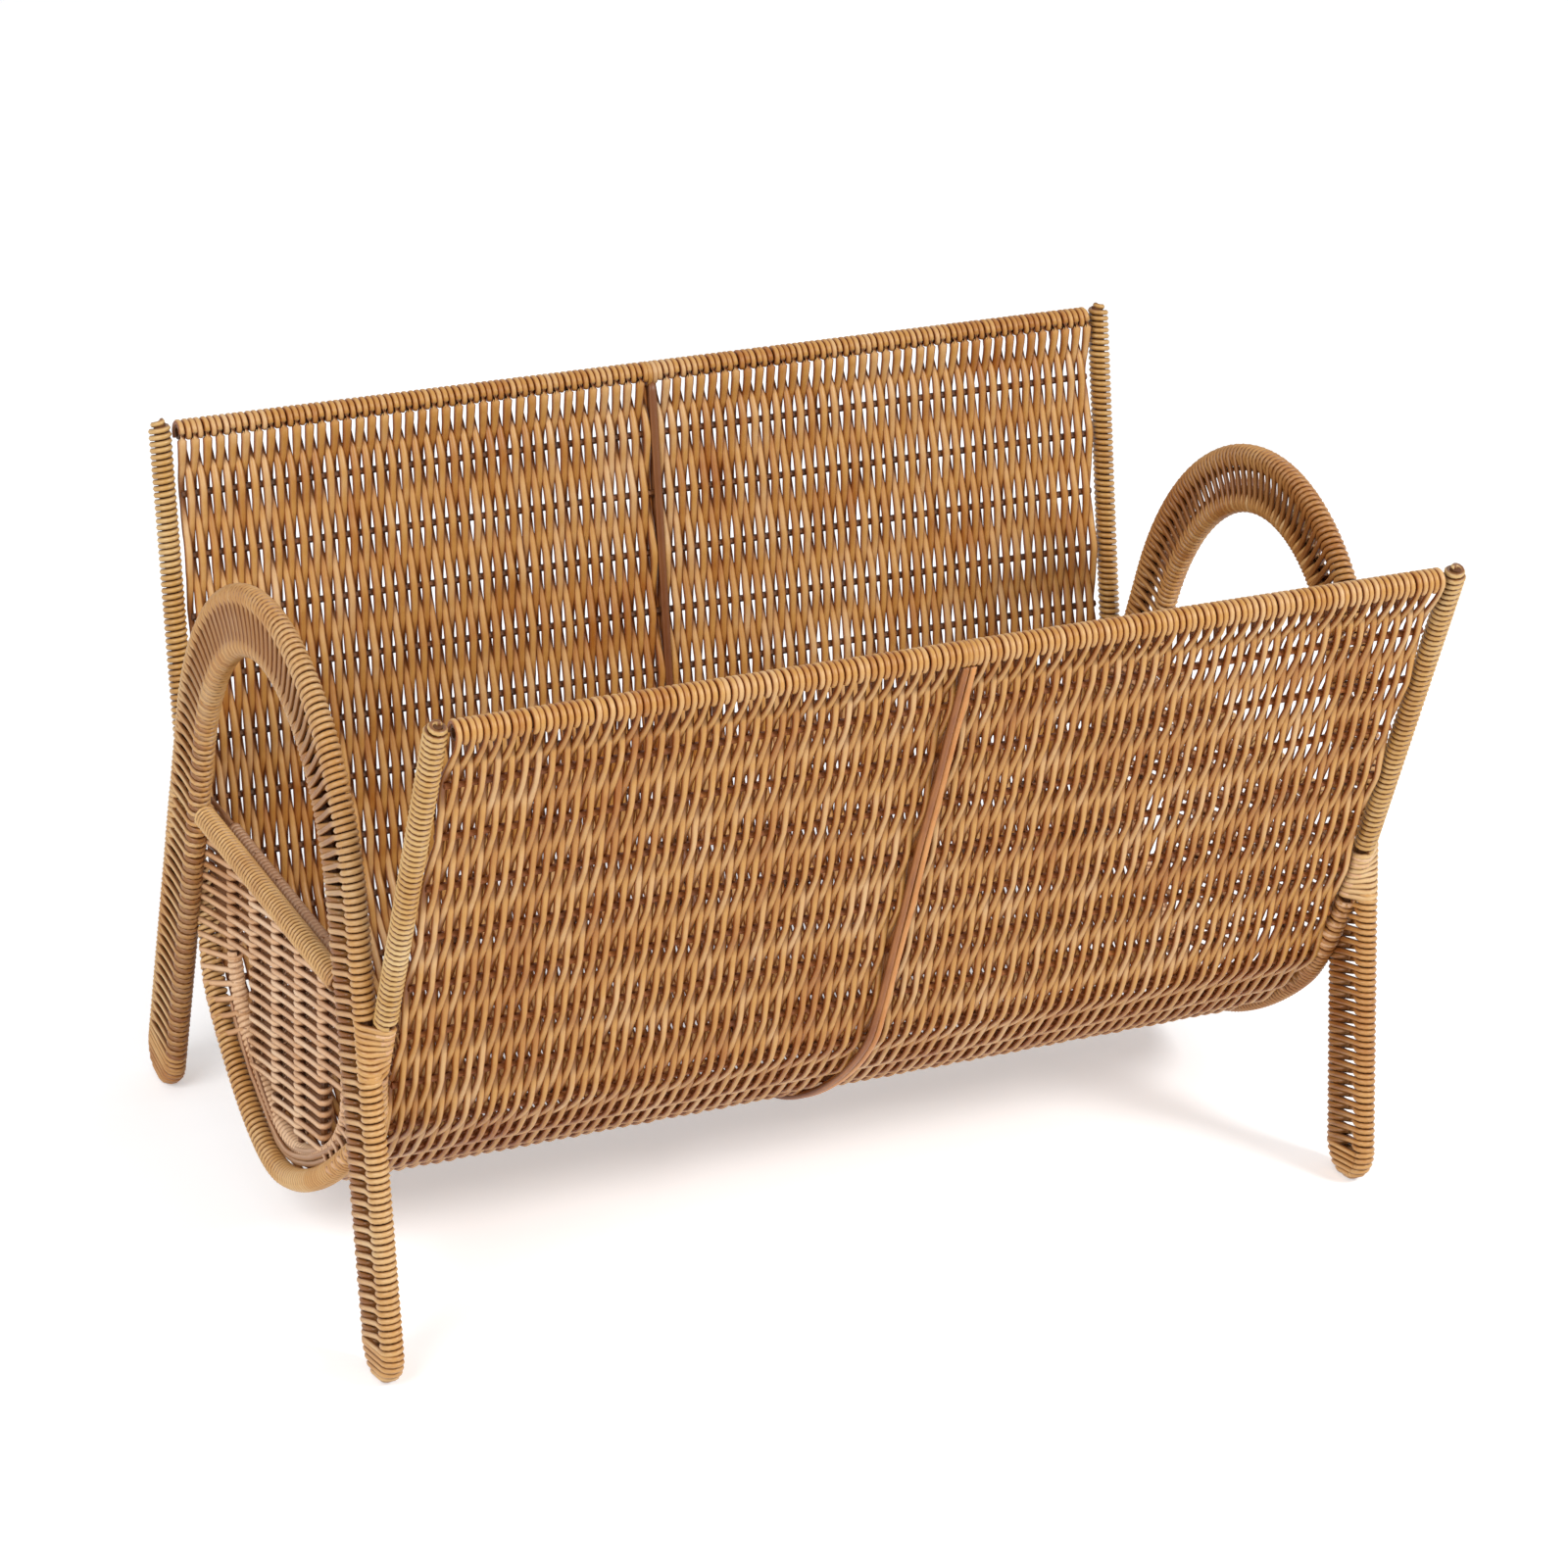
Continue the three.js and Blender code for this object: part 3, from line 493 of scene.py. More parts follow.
# %% Walls left and right of the seam
SEAM_HALF, SEAM_ROOM = 1.7, 0.1
TROUGH_END = 212.2
per_half = int((TROUGH_END - SEAM_HALF - STRAND_PITCH) / STRAND_PITCH) + 1
for end, x_side in (("left", -1), ("right", 1)):
    places = np.linspace(SEAM_HALF + CANE_WIDTH / 2 + SEAM_ROOM, TROUGH_END, per_half)
    for parity, name in ((0, "first"), (1, "second")):
        strands = [trough_strand(x_side * x, parity) for x in places[parity::2]]
        make_piece(f"{end}_weave_{name}_strands", strands, WEAVE_WIDTH, CANE_THICK, WEAVE_SIDES, WOVEN,
                   [f"{end}_weave"], WEAVE_SWELL)

# %% [markdown]
# ## The seam
# A seam parts the wall into two halves. A smooth dark strip covers it outside, with a
# strand at its left that painted shade darkens, and a flat one lies inside, painted with full
# shade. Two turns of cane close each rail where the halves meet. The strips are paths as
# well, only with rounder rings.

# %% Strips outside the seam
SEAM_TOP = 3.4
SEAM_STEPS = 161
STRIP_OUT, STRIP_IN = 2.0, 1.3
STRIP_WIDTH, STRIP_THICK, STRIP_SIDES = 3.1, 3.0, 12
STRIP_DRIFT = (0.25, 120.0)
# Each outer strip is (x, level); the level of the one at the left paints shade on its outer side.
OUTER_STRIPS = ((1.0, 1.0), (-1.9, -0.35))
s = np.linspace(-(HALF - SEAM_TOP), HALF - SEAM_TOP, SEAM_STEPS)
y, z, out = wall(s, STAKE_WIRE / 2 + CLEAR + STRIP_OUT)
outward = np.stack([np.zeros_like(y), out[:, 0], out[:, 1]], -1)
seam = [(np.stack([x + drift(s, *STRIP_DRIFT), y, z], -1), outward, np.full(len(s), level))
        for x, level in OUTER_STRIPS]
make_piece("seam_strip", seam, STRIP_WIDTH, STRIP_THICK, STRIP_SIDES, SEAM_CANE,
           ["seam_rib"])

# %% Strip inside the seam
INSIDE_WIDTH, INSIDE_THICK, INSIDE_SIDES = 3.6, 2.0, 10
y, z, out = wall(s, -STAKE_WIRE / 2 - STRIP_IN)
inside_points = np.stack([np.zeros_like(y), y, z], -1)
inward = np.stack([np.zeros_like(y), -out[:, 0], -out[:, 1]], -1)
# A level of -1 paints full shade on the inside strip's face towards the trough's inside.
inside = [(inside_points, inward, -np.ones_like(y))]
make_piece("seam_inside_strip", inside, INSIDE_WIDTH, INSIDE_THICK, INSIDE_SIDES, SEAM_CANE,
           ["seam_rib"])

# %% Turns that close the rails at the seam
RING_STEPS, RING_X = 18, 1.2
rail_rings = []
for y_side in (-1, 1):
    rail_y, rail_z, _ = wall(y_side * HALF, 0.0)
    for x in (-RING_X, RING_X):
        angle = np.linspace(0, 2 * np.pi, RING_STEPS)
        outward = np.stack([np.zeros(RING_STEPS), np.cos(angle), np.sin(angle)], -1)
        rail_rings.append((np.array([x, rail_y, rail_z]) + RAIL_WRAP * outward, outward))
make_piece("seam_rail_turns", rail_rings, CANE_WIDTH, CANE_THICK, SIDES, WOVEN,
           ["seam_rib"])


# %% [markdown]
# ## The arches
# Each arch is one loop of wire: a straight splayed leg, a half ellipse over the top and a
# hairpin in each foot. The middle line between its two runs is the reference, and a place
# on it is counted by its length t from the front foot. A table again gives the place and
# the direction at any t, which a strand needs and the CAD mesh can't say.

# %% The arch's middle line
MEET = math.atan(math.tan(SPLAY) * ARCH_RISE / ARCH_HALF)
LEG_TOP = np.array([ARCH_HALF * math.cos(MEET), SPRING + ARCH_RISE * math.sin(MEET)])
LEG_UP = np.array([-math.sin(SPLAY), math.cos(SPLAY)])
LEG_OUT = np.array([math.cos(SPLAY), math.sin(SPLAY)])
ROD_OUT = ROD_SPREAD / 2
FOOT_HEIGHT = 14.3
CROSSING = 137.6
LASH_HALF = 12.15
ARC_STEPS, LEG_STEPS, OUTER_STEPS_ALL = 400, 100, 3000


def make_arch():
    angles = np.linspace(MEET, np.pi - MEET, ARC_STEPS)
    arc = np.stack([ARCH_HALF * np.cos(angles), SPRING + ARCH_RISE * np.sin(angles)], -1)
    foot = LEG_TOP - LEG_UP * (LEG_TOP[1] - FOOT_HEIGHT) / math.cos(SPLAY)
    leg = foot + (LEG_TOP - foot) * np.linspace(0, 1, LEG_STEPS)[:-1, None]
    points = np.vstack([leg, arc, (leg * [-1, 1])[::-1]])[::-1]
    return np.r_[0, np.cumsum(np.hypot(*np.diff(points, axis=0).T))], points


ARCH_T, ARCH_YZ = make_arch()
ARCH_LENGTH = ARCH_T[-1]


def arch_place(t, offset):
    """Y and Z on the arch at t, an offset outside its middle line, and the outward direction."""
    y, z = (np.interp(t, ARCH_T, ARCH_YZ[:, k]) for k in (0, 1))
    low, high = np.maximum(t - LOOK_AROUND, 0), np.minimum(t + LOOK_AROUND, ARCH_LENGTH)
    dy, dz = (np.interp(high, ARCH_T, ARCH_YZ[:, k]) - np.interp(low, ARCH_T, ARCH_YZ[:, k])
              for k in (0, 1))
    size = np.hypot(dy, dz)
    out = np.stack([-dz / size, dy / size], -1)
    return y + offset * out[..., 0], z + offset * out[..., 1], out


def arch_x(z):
    return ARCH_X + math.tan(LEAN) * (z - CROSSING)


OUTER_T = np.linspace(0, ARCH_LENGTH, OUTER_STEPS_ALL)
OUTER_Y, OUTER_Z, _ = arch_place(OUTER_T, ROD_OUT)
OUTER_LENGTH = np.r_[0, np.cumsum(np.hypot(np.diff(OUTER_Y), np.diff(OUTER_Z)))]
print("An arch is", round(ARCH_LENGTH), "mm long, its outer run", round(OUTER_LENGTH[-1]), "mm")


# %% [markdown]
# ## Windings
# A winding is one strand laid in tight turns. On the arches every second turn goes round
# both rods, which makes the ladder between them, and the turn between it goes round the
# outer rod alone. The inner rod has turns of its own there. A turn is drawn as a path: a
# circle, or a stadium for a turn round both rods. Between the rods the strand lies set back,
# and painted shade darkens it there; on the legs painted shade darkens the inboard side as
# well, and on the handles the rungs. A plain helix would be simpler, but it can't change
# from rod to rod, so each turn has its own points.

# %% One turn round one rod or both
TURN_WIDTH = 2.55


def turn_path(low, high, steps, radius=WOUND):
    """A turn round the rods at offsets low and high: offset, x and outward direction."""
    bend = np.linspace(-np.pi / 2, np.pi / 2, steps // 2)
    flat = np.linspace(0, 1, 5)[1:-1]
    offset = np.r_[high + radius * np.cos(bend), high + (low - high) * flat,
                   low - radius * np.cos(bend), low + (high - low) * flat]
    x = radius * np.r_[np.sin(bend), np.ones(3), -np.sin(bend), -np.ones(3)]
    out = np.r_[np.stack([np.cos(bend), np.sin(bend)], -1), np.tile([0, 1.0], (3, 1)),
                np.stack([-np.cos(bend), -np.sin(bend)], -1), np.tile([0, -1.0], (3, 1))]
    return offset, x, out


def arch_points(side, ts, offset, x, out):
    y, z, outward = arch_place(ts, offset)
    points = np.stack([side * (arch_x(z) + x), y, z], -1)
    return points, np.stack([side * out[:, 1], out[:, 0] * outward[:, 0], out[:, 0] * outward[:, 1]], -1)


def closed(path):
    """The path with its first two points again at its end."""
    return tuple(np.concatenate([part, part[:2]]) for part in path)


# %% Where on the arch a turn is
HANDLE_FROM, HANDLE_OVER = 165, 50
LEG_FROM, LEG_OVER = 150, 40


def handle_share(z):
    """0 on the legs, 1 on the handle above."""
    return np.clip((z - HANDLE_FROM) / HANDLE_OVER, 0, 1)


def leg_share(z):
    """0 above the lashing, 1 on the legs."""
    return np.clip((LEG_FROM - z) / LEG_OVER, 0, 1)


# %% The strand that makes the ladder
RUNG_SAG, INTO_GAP = 0.35, 2.7
INNER_STEPS, OUTER_STEPS = 6, 18
RUNG = np.array([0.25, 0.5, 0.75])
INNER_BEND = np.radians(np.linspace(-90, -270, INNER_STEPS))
OUTER_BEND = np.radians(np.linspace(90, -450, OUTER_STEPS))
FACING_GAP = np.clip(-np.cos(OUTER_BEND), 0, 1)


def ladder_section():
    """Offset, x and outward direction of one cycle: inner rod, rung, one turn and a half, rung."""
    sunk = WOUND - RUNG_SAG * np.sin(np.pi * RUNG)
    reach = WOUND + INTO_GAP * FACING_GAP ** 3
    offset = np.r_[-ROD_OUT + WOUND * np.cos(INNER_BEND), ROD_OUT * (2 * RUNG - 1),
                   ROD_OUT + reach * np.cos(OUTER_BEND), ROD_OUT * (1 - 2 * RUNG)]
    x = np.r_[WOUND * np.sin(INNER_BEND), sunk, WOUND * np.sin(OUTER_BEND), -sunk]
    out = np.vstack([np.stack([np.cos(INNER_BEND), np.sin(INNER_BEND)], -1), np.tile([0, 1.0], (3, 1)),
                     np.stack([np.cos(OUTER_BEND), np.sin(OUTER_BEND)], -1), np.tile([0, -1.0], (3, 1))])
    return offset, x, out


LADDER = ladder_section()
ON_INNER = np.r_[np.ones(INNER_STEPS), np.zeros(OUTER_STEPS + 6)]
ON_RUNG = np.r_[np.zeros(INNER_STEPS), np.ones(3), np.zeros(OUTER_STEPS), np.ones(3)]
# These set painted shade: on the legs' inboard flats, where the strand faces the gap between the rods, on
# the handle's rungs and the whole handle, and on the inner rod's part on the legs.
INBOARD = np.r_[np.zeros(INNER_STEPS + 3 + OUTER_STEPS), 0.2, 0.6, 0.8]
IN_GAP = np.r_[np.zeros(INNER_STEPS + 3), FACING_GAP, np.zeros(3)]
RUNG_BACK, HANDLE_BACK, INNER_BACK = 0.5, 0.22, 0.35
LOOP_FROM, LOOP_TO, BACK_STEP = -0.35, 1.15, 0.4


def ladder_cycle(side, t_rung, t_loop, t_next, slip):
    """From the inner rod over a rung to the outer rod, one turn more there, and back inboard."""
    start = t_rung - slip
    back = t_loop + BACK_STEP
    loop = t_rung + np.linspace(LOOP_FROM, LOOP_TO, OUTER_STEPS) * (t_loop - t_rung)
    ts = np.r_[np.full(INNER_STEPS, start), start + slip * RUNG, loop,
               back + (t_next - slip - t_loop - BACK_STEP) * RUNG]
    points, outward = arch_points(side, np.clip(ts, 0, ARCH_LENGTH), *LADDER)
    # Painted shade: darker rungs and handle above, inner rod and inboard side on the legs, and the side
    # facing the gap below the handle.
    high, low = handle_share(points[:, 2]), leg_share(points[:, 2])
    above = -(RUNG_BACK * ON_RUNG + HANDLE_BACK) * high
    below = -(INNER_BACK * ON_INNER + INBOARD) * low
    return points, outward, above + below - IN_GAP * (1 - high)


# %% Turns of the inner rod alone
INNER_TURN_STEPS = 12
INNER_SUNK = 0.45
# These set the inner turns' painted shade: on the outboard side, more on the legs, less on the handle.
TURN_BACK, LEG_BACK, LEAST_BACK = 0.3, 0.3, 0.7
HANDLE_RELIEF = 0.8


def inner_turn(side, t):
    """It lies deep on the outboard side of a leg, and painted shade darkens it there."""
    angle = np.linspace(0, 2 * np.pi, INNER_TURN_STEPS + 1)[:-1]
    high = float(handle_share(arch_place(t, 0.0)[1]))
    radius = WOUND - INNER_SUNK * (1 - high) * np.clip(np.sin(angle), 0, 1)
    offset = -ROD_OUT + (radius + INTO_GAP * np.clip(np.cos(angle), 0, 1) ** 3) * np.cos(angle)
    out = np.stack([np.cos(angle), np.sin(angle)], -1)
    ts = np.full(INNER_TURN_STEPS, t)
    points, outward = arch_points(side, ts, offset, radius * np.sin(angle), out)
    low = leg_share(points[:, 2])
    deep = TURN_BACK + LEG_BACK * low + (1 - HANDLE_RELIEF * high) * np.sin(angle)
    return closed((points, outward, -np.clip(deep, LEAST_BACK * low, 1)))


# %% All turns of an arch
UNEVEN_TURN = 0.12
FRONT_SLIP, SLIP_LOSS = 4.6, 2.2
UNDER_LASHING = 3.2
BOTH_STEPS = 12
LAST_TURNS = (5.6, 2.9, 0.3)


def joined(run):
    """Many short paths as one long one."""
    return tuple(np.concatenate(parts) for parts in zip(*run))


def arch_strands(side):
    """The ladder's strand from foot to foot, broken at the lashings, and the inner turns."""
    even = np.arange(STRAND_PITCH / 2, OUTER_LENGTH[-1], STRAND_PITCH)
    marks = np.interp(even, OUTER_LENGTH, OUTER_T)
    marks += random.uniform(-UNEVEN_TURN, UNEVEN_TURN, len(marks))
    _, heights, _ = arch_place(marks, ROD_OUT)
    lashed = np.abs(heights - CROSSING) < LASH_HALF - 0.5
    strands, run = [], []
    for k in range(0, len(marks) - 2, 2):
        slip = FRONT_SLIP - SLIP_LOSS * marks[k] / ARCH_LENGTH
        if lashed[k] and lashed[k + 1]:
            if run:
                strands.append(joined(run))
                run = []
            offset, x, out = turn_path(-ROD_OUT, ROD_OUT - UNDER_LASHING, BOTH_STEPS)
            ts = marks[k] + slip * (offset - ROD_OUT) / (2 * ROD_OUT)
            strands.append(closed(arch_points(side, ts, offset, x, out)))
        else:
            run.append(ladder_cycle(side, marks[k], marks[k + 1], marks[k + 2], slip))
        strands.append(inner_turn(side, max(marks[k + 1] - slip, 0)))
    strands.append(joined(run))
    for before_end in LAST_TURNS:
        offset, x, out = turn_path(-ROD_OUT, ROD_OUT, BOTH_STEPS)
        ts = np.full(len(x), ARCH_LENGTH - before_end)
        strands.append(closed(arch_points(side, ts, offset, x, out)))
    return strands


# %% Turns round a foot's hairpin
FOOT_DEPTHS = [1.3, 4.0, 6.7, 9.3, 11.6, 13.2]
LEAST_HEIGHT = 1.25


def foot_strands(side, y_side):
    """Turns that shrink with the hairpin, each flat below where the foot stands on the floor."""
    middle = LEG_TOP - LEG_UP * (LEG_TOP[1] - FOOT_HEIGHT) / math.cos(SPLAY)
    strands = []
    for depth in FOOT_DEPTHS:
        reach = math.sqrt((ROD_OUT + WOUND) ** 2 - depth ** 2)
        radius = math.sqrt(WOUND ** 2 - max(depth - ROD_OUT, 0) ** 2)
        offset, x, out = turn_path(radius - reach, reach - radius, BOTH_STEPS, radius)
        yz = middle - LEG_UP * depth + offset[:, None] * LEG_OUT
        z = np.maximum(yz[:, 1], LEAST_HEIGHT)
        points = np.stack([side * (arch_x(z) + x), y_side * yz[:, 0], z], -1)
        outward = np.stack([side * out[:, 1], y_side * out[:, 0] * LEG_OUT[0], out[:, 0] * LEG_OUT[1]], -1)
        strands.append(closed((points, outward)))
    return strands


for end, side in (("left", -1), ("right", 1)):
    strands = arch_strands(side) + foot_strands(side, -1) + foot_strands(side, 1)
    make_piece(f"{end}_arch_turns", strands, TURN_WIDTH, CANE_THICK, SIDES, WOUND_CANE,
               [f"{end}_arch_winding"])


# %% [markdown]
# ## Windings of the trough's end frames
# The end wires are wound from their tops at the rail down to the crossing, and round the
# bottom. A helix with a slightly uneven pitch covers each. At the top the last turns close over the
# wire's cut end, so their radius shrinks there. Beside the arch's inner rod the wire bows
# inward a little, as the CAD wire does, and the winding bows with it.

# %% Helix round the end frame
BOW, BOW_HEIGHT, BOW_REACH = 3.2, 96.0, 29.5
TURN_STEPS = 12
LEAST_CLOSING = 0.75
PITCH_DRIFT = (0.15, 30.0)


def frame_x(z):
    near = np.clip(np.abs(z - BOW_HEIGHT) / BOW_REACH, 0, 1)
    return FRAME_X - BOW * (1 + np.cos(np.pi * near)) / 2


def frame_helix(side, start, stop, pitch, closing=0.0):
    """A helix round the end wire from s to s, closing over the wire's end where asked."""
    turns = abs((stop - start) / pitch)
    count = int(turns * TURN_STEPS)
    even = np.linspace(start, stop, count)
    s = even + drift(even, *PITCH_DRIFT)
    angle = 2 * np.pi * np.linspace(0, turns, count)
    radius = WOUND * np.ones(count)
    if closing:
        last = np.clip((np.linspace(0, turns, count) - turns + closing) / closing, 0, 1)
        radius = WOUND * (1 - LEAST_CLOSING * last ** 2)
    y, z, out = wall(s, radius * np.cos(angle))
    points = np.stack([side * (frame_x(z) + radius * np.sin(angle)), y, z], -1)
    outward = np.stack([side * np.sin(angle), np.cos(angle) * out[:, 0], np.cos(angle) * out[:, 1]], -1)
    return points, outward


# %% Arms and bottom of both end frames
ARM_PITCH, ARM_WIDTH = 2.65, TURN_WIDTH - 0.1
ARM_FOOT, BOTTOM_END = s_at_height(CROSSING + 13.5), s_at_height(CROSSING - 13.0)
ARM_TOP = HALF + WIRE_TOP + 0.6
CLOSING_TURNS = 1.6
for end, side in (("left", -1), ("right", 1)):
    for face, y_side in (("front", -1), ("back", 1)):
        arm = frame_helix(side, y_side * ARM_FOOT, y_side * ARM_TOP, y_side * ARM_PITCH, CLOSING_TURNS)
        make_piece(f"{end}_{face}_arm_turns", [arm], ARM_WIDTH, CANE_THICK, SIDES, ARM_CANE,
                   [f"{end}_{face}_arm_winding"])
    bottom = frame_helix(side, -BOTTOM_END, BOTTOM_END, ARM_PITCH)
    make_piece(f"{end}_bottom_turns", [bottom], ARM_WIDTH, CANE_THICK, SIDES, WOUND_CANE,
               [f"{end}_bottom_winding"])

# %% [markdown]
# ## Rim bars
# A straight bar crosses each arch above the end panel, and is wound a little tighter than
# the rest. Copies of one ring would lie square to it, and real turns slope, so its winding
# is a helix round a level line.

# %% Rim bars
RIM_HEIGHT, RIM_HALF, RIM_PITCH, RIM_GAP = CROSSING + 14.0, 74.9, 2.5, 0.32
for end, side in (("left", -1), ("right", 1)):
    count = int(2 * RIM_HALF / RIM_PITCH * TURN_STEPS)
    y = np.linspace(-RIM_HALF, RIM_HALF, count)
    angle = 2 * np.pi * (y + RIM_HALF) / RIM_PITCH
    round_bar = np.stack([side * np.cos(angle), np.zeros(count), np.sin(angle)], -1)
    middle = np.stack([np.full(count, side * arch_x(RIM_HEIGHT)), y, np.full(count, RIM_HEIGHT)], -1)
    make_piece(f"{end}_rim_turns", [(middle + WOUND * round_bar, round_bar)], RIM_PITCH - RIM_GAP,
               CANE_THICK, SIDES, RIM_CANE, [f"{end}_rim_bar"])


# %% [markdown]
# ## Lashings
# Where an arch's outer rod passes the trough's end wire, nine wide turns hold both together.
# Each turn is the shortest line round two circles, one for each wire. One large circle would
# be simpler, but it would stand off both wires, and this cane is pulled tight.

# %% Nine turns round two wires
# The first LEG_PART points of the arch's outer run are its front leg and the crossing.
LASH_TURNS, LASH_PITCH, LASH_LIFT, LASH_WIDTH = 9, 2.7, 0.1, CANE_WIDTH + 0.1
LASH_STEPS, BEND_STEPS = 16, 8
LEG_PART = 900


def lashing(side, y_side):
    """One unbroken coil: half of each turn bends round the rod and half round the wire."""
    points, outward = [], []
    for turn in range(LASH_TURNS):
        for step in range(LASH_STEPS):
            share = step / LASH_STEPS
            z = CROSSING + LASH_HALF - LASH_PITCH * (turn + share)
            rod = np.array([arch_x(z), np.interp(z, OUTER_Z[:LEG_PART], -OUTER_Y[:LEG_PART])])
            wire = np.array([frame_x(z), np.interp(z, SECTION_YZ[:, 1], SECTION_YZ[:, 0])])
            apart = rod - wire
            facing = math.atan2(apart[1], apart[0])
            on_rod = step < BEND_STEPS
            round_share = (step % BEND_STEPS) / (BEND_STEPS - 1) - 0.5
            bend = facing + np.pi * round_share + (0 if on_rod else np.pi)
            direction = np.array([math.cos(bend), math.sin(bend)])
            place = (rod if on_rod else wire) + direction * (WOUND + LASH_LIFT)
            points.append([side * place[0], y_side * place[1], z])
            outward.append([side * direction[0], y_side * direction[1], 0])
    return np.array(points), np.array(outward)


for end, side in (("left", -1), ("right", 1)):
    for face, y_side in (("front", -1), ("back", 1)):
        make_piece(f"{end}_{face}_lashing", [lashing(side, y_side)], LASH_WIDTH, CANE_THICK, SIDES,
                   WOUND_CANE, [f"{end}_{face}_binding"])


# %% [markdown]
# ## End panels
# Upright ribs stand between the rim bar and a U-shaped border rib. A strand crosses from
# rib to rib and is wrapped round each, so the ribs look like pale beaded lines with dark
# slits between them. Flat slats would be simpler, but the half turns round the ribs are what
# shows as beads, so each strand is drawn with them. The strands climb about 6 mm towards the
# front in each bay, and the wraps of two neighbouring bays take turns on the rib that they
# share. Strands inboard of the ribs carry full painted shade, which darkens the slits; an
# edging is wound along the top, and a bundle of three strands runs down the slit between the
# panel's border and the end wire, and both of these carry painted shade too.

# %% Borders of a panel
RIBS, BORDER_HALF = [37.95, 12.65, -12.65, -37.95], 63.25
BORDER_BEND, BORDER_HANDLE, BORDER_KEEL_HANDLE, BORDER_KEEL = 92.0, 26.0, 28.0, 38.0
ROW_PITCH, ROW_RISE, PANEL_TOP, PANEL_FOOT = 5.4, 6.2, 146.5, 40.0
PANEL_THICK, PANEL_WIDTH = 1.8, 2.9
BORDER_CURVE_STEPS = 201


def make_border():
    handles = [[BORDER_HALF, BORDER_BEND], [BORDER_HALF, BORDER_BEND - BORDER_HANDLE],
               [BORDER_KEEL_HANDLE, BORDER_KEEL], [0, BORDER_KEEL]]
    return np.vstack([[[BORDER_HALF, PANEL_TOP]], bezier(handles, BORDER_CURVE_STEPS)])


BORDER = make_border()


def border_y(z):
    return float(np.interp(z, BORDER[::-1, 1], BORDER[::-1, 0]))


def border_z(y):
    return float(np.interp(abs(y), BORDER[::-1, 0][:-1], BORDER[::-1, 1][:-1]))


def panel_x(z):
    return PANEL_X + math.tan(LEAN) * (z - CROSSING)


# %% A strand from one rib to the next
RIB_WRAP = STAKE_WIRE / 2 + PANEL_THICK / 2
WRAP_ANGLES = np.linspace(200, 0, 7)
SLAT_SHARES = (0.2, 0.4, 0.6, 0.8)
SLAT_SAG, WRAP_SLIP = 0.7, 0.9


def slat(side, start, stop, low, high):
    """From a rib at start over to one at stop; each is (y, x, radius of the wrap)."""
    points, outward = [], []
    for (y, x, radius), z, angles in ((start, low, WRAP_ANGLES), (stop, high, -WRAP_ANGLES[::-1])):
        if z == high:
            for share in SLAT_SHARES:
                sag = SLAT_SAG * math.sin(np.pi * share)
                middle = [a + (b - a) * share for a, b in zip(start, stop)]
                points.append([side * (middle[1] + middle[2] - sag), middle[0],
                               low + (high - low) * share - 0.5 * sag])
                outward.append([side, 0, 0])
        for angle in np.radians(angles):
            slip = WRAP_SLIP * abs(angle) / np.pi * (-1 if z == low else 1)
            points.append([side * (x + radius * math.cos(angle)), y + radius * math.sin(angle), z + slip])
            outward.append([side * math.cos(angle), math.sin(angle), 0])
    return np.array(points), np.array(outward)


# %% Posts that the slats go round
POSTS = ["frame_back", "border_back", *RIBS, "border_front", "frame_front"]
RIB_ROOM, FRAME_ROOM = 0.1, 0.5


def post_at(post, z):
    """Y, x and radius of the wrap at a post: an end wire, the border or, by its y, a rib."""
    if post in RIBS:
        return [post, panel_x(z), RIB_WRAP + RIB_ROOM]
    y_side = 1 if post.endswith("back") else -1
    if post.startswith("border"):
        return [y_side * border_y(z), panel_x(z), RIB_WRAP + RIB_ROOM]
    y = np.interp(z, SECTION_YZ[:, 1], SECTION_YZ[:, 0])
    return [y_side * y, float(frame_x(z)), WOUND + FRAME_ROOM]


# %% Slats and the strands behind them
FRAME_SLATS_FROM, LEAST_BAY, LEAST_RISE = 55.0, 3.0, 0.5
TOP_MARGIN, UNEVEN_ROWS = 0.5, 0.25


def strand_behind(side, start, stop, low, high):
    """A straight strand inboard of the ribs, half a row above the slat."""
    share = np.linspace(0, 1, 4)
    ys = start[0] + (stop[0] - start[0]) * share
    zs = np.minimum(low + (high - low) * share + ROW_PITCH / 2, PANEL_TOP)
    points = np.stack([side * (panel_x(zs) - RIB_WRAP), ys, zs], -1)
    # A level of -1 paints full shade on its outboard face, which shows through the slits.
    return points, np.tile([side, 0, 0.0], (4, 1)), -np.ones(4)


def panel_strands(side):
    """Rows of slats in each bay, as far as they lie above the border or the frame's curve."""
    strands = []
    for bay, (near, far) in enumerate(zip(POSTS[:-1], POSTS[1:])):
        first = PANEL_FOOT + bay * (ROW_RISE + ROW_PITCH / 2) % ROW_PITCH
        at_frame = bay in (0, len(POSTS) - 2)
        rows = np.arange(first, PANEL_TOP - 1.0, ROW_PITCH) + random.uniform(-UNEVEN_ROWS, UNEVEN_ROWS)
        for low in rows:
            high = min(low + ROW_RISE, PANEL_TOP - TOP_MARGIN)
            start, stop = post_at(near, low), post_at(far, high)
            above = min(low - border_z(start[0]), high - border_z(stop[0]))
            too_low = low < FRAME_SLATS_FROM if at_frame else above < LEAST_RISE
            if too_low or start[0] - stop[0] < LEAST_BAY:
                continue
            strands.append(slat(side, start, stop, low, high))
            strands.append(strand_behind(side, start, stop, low, high))
    return strands


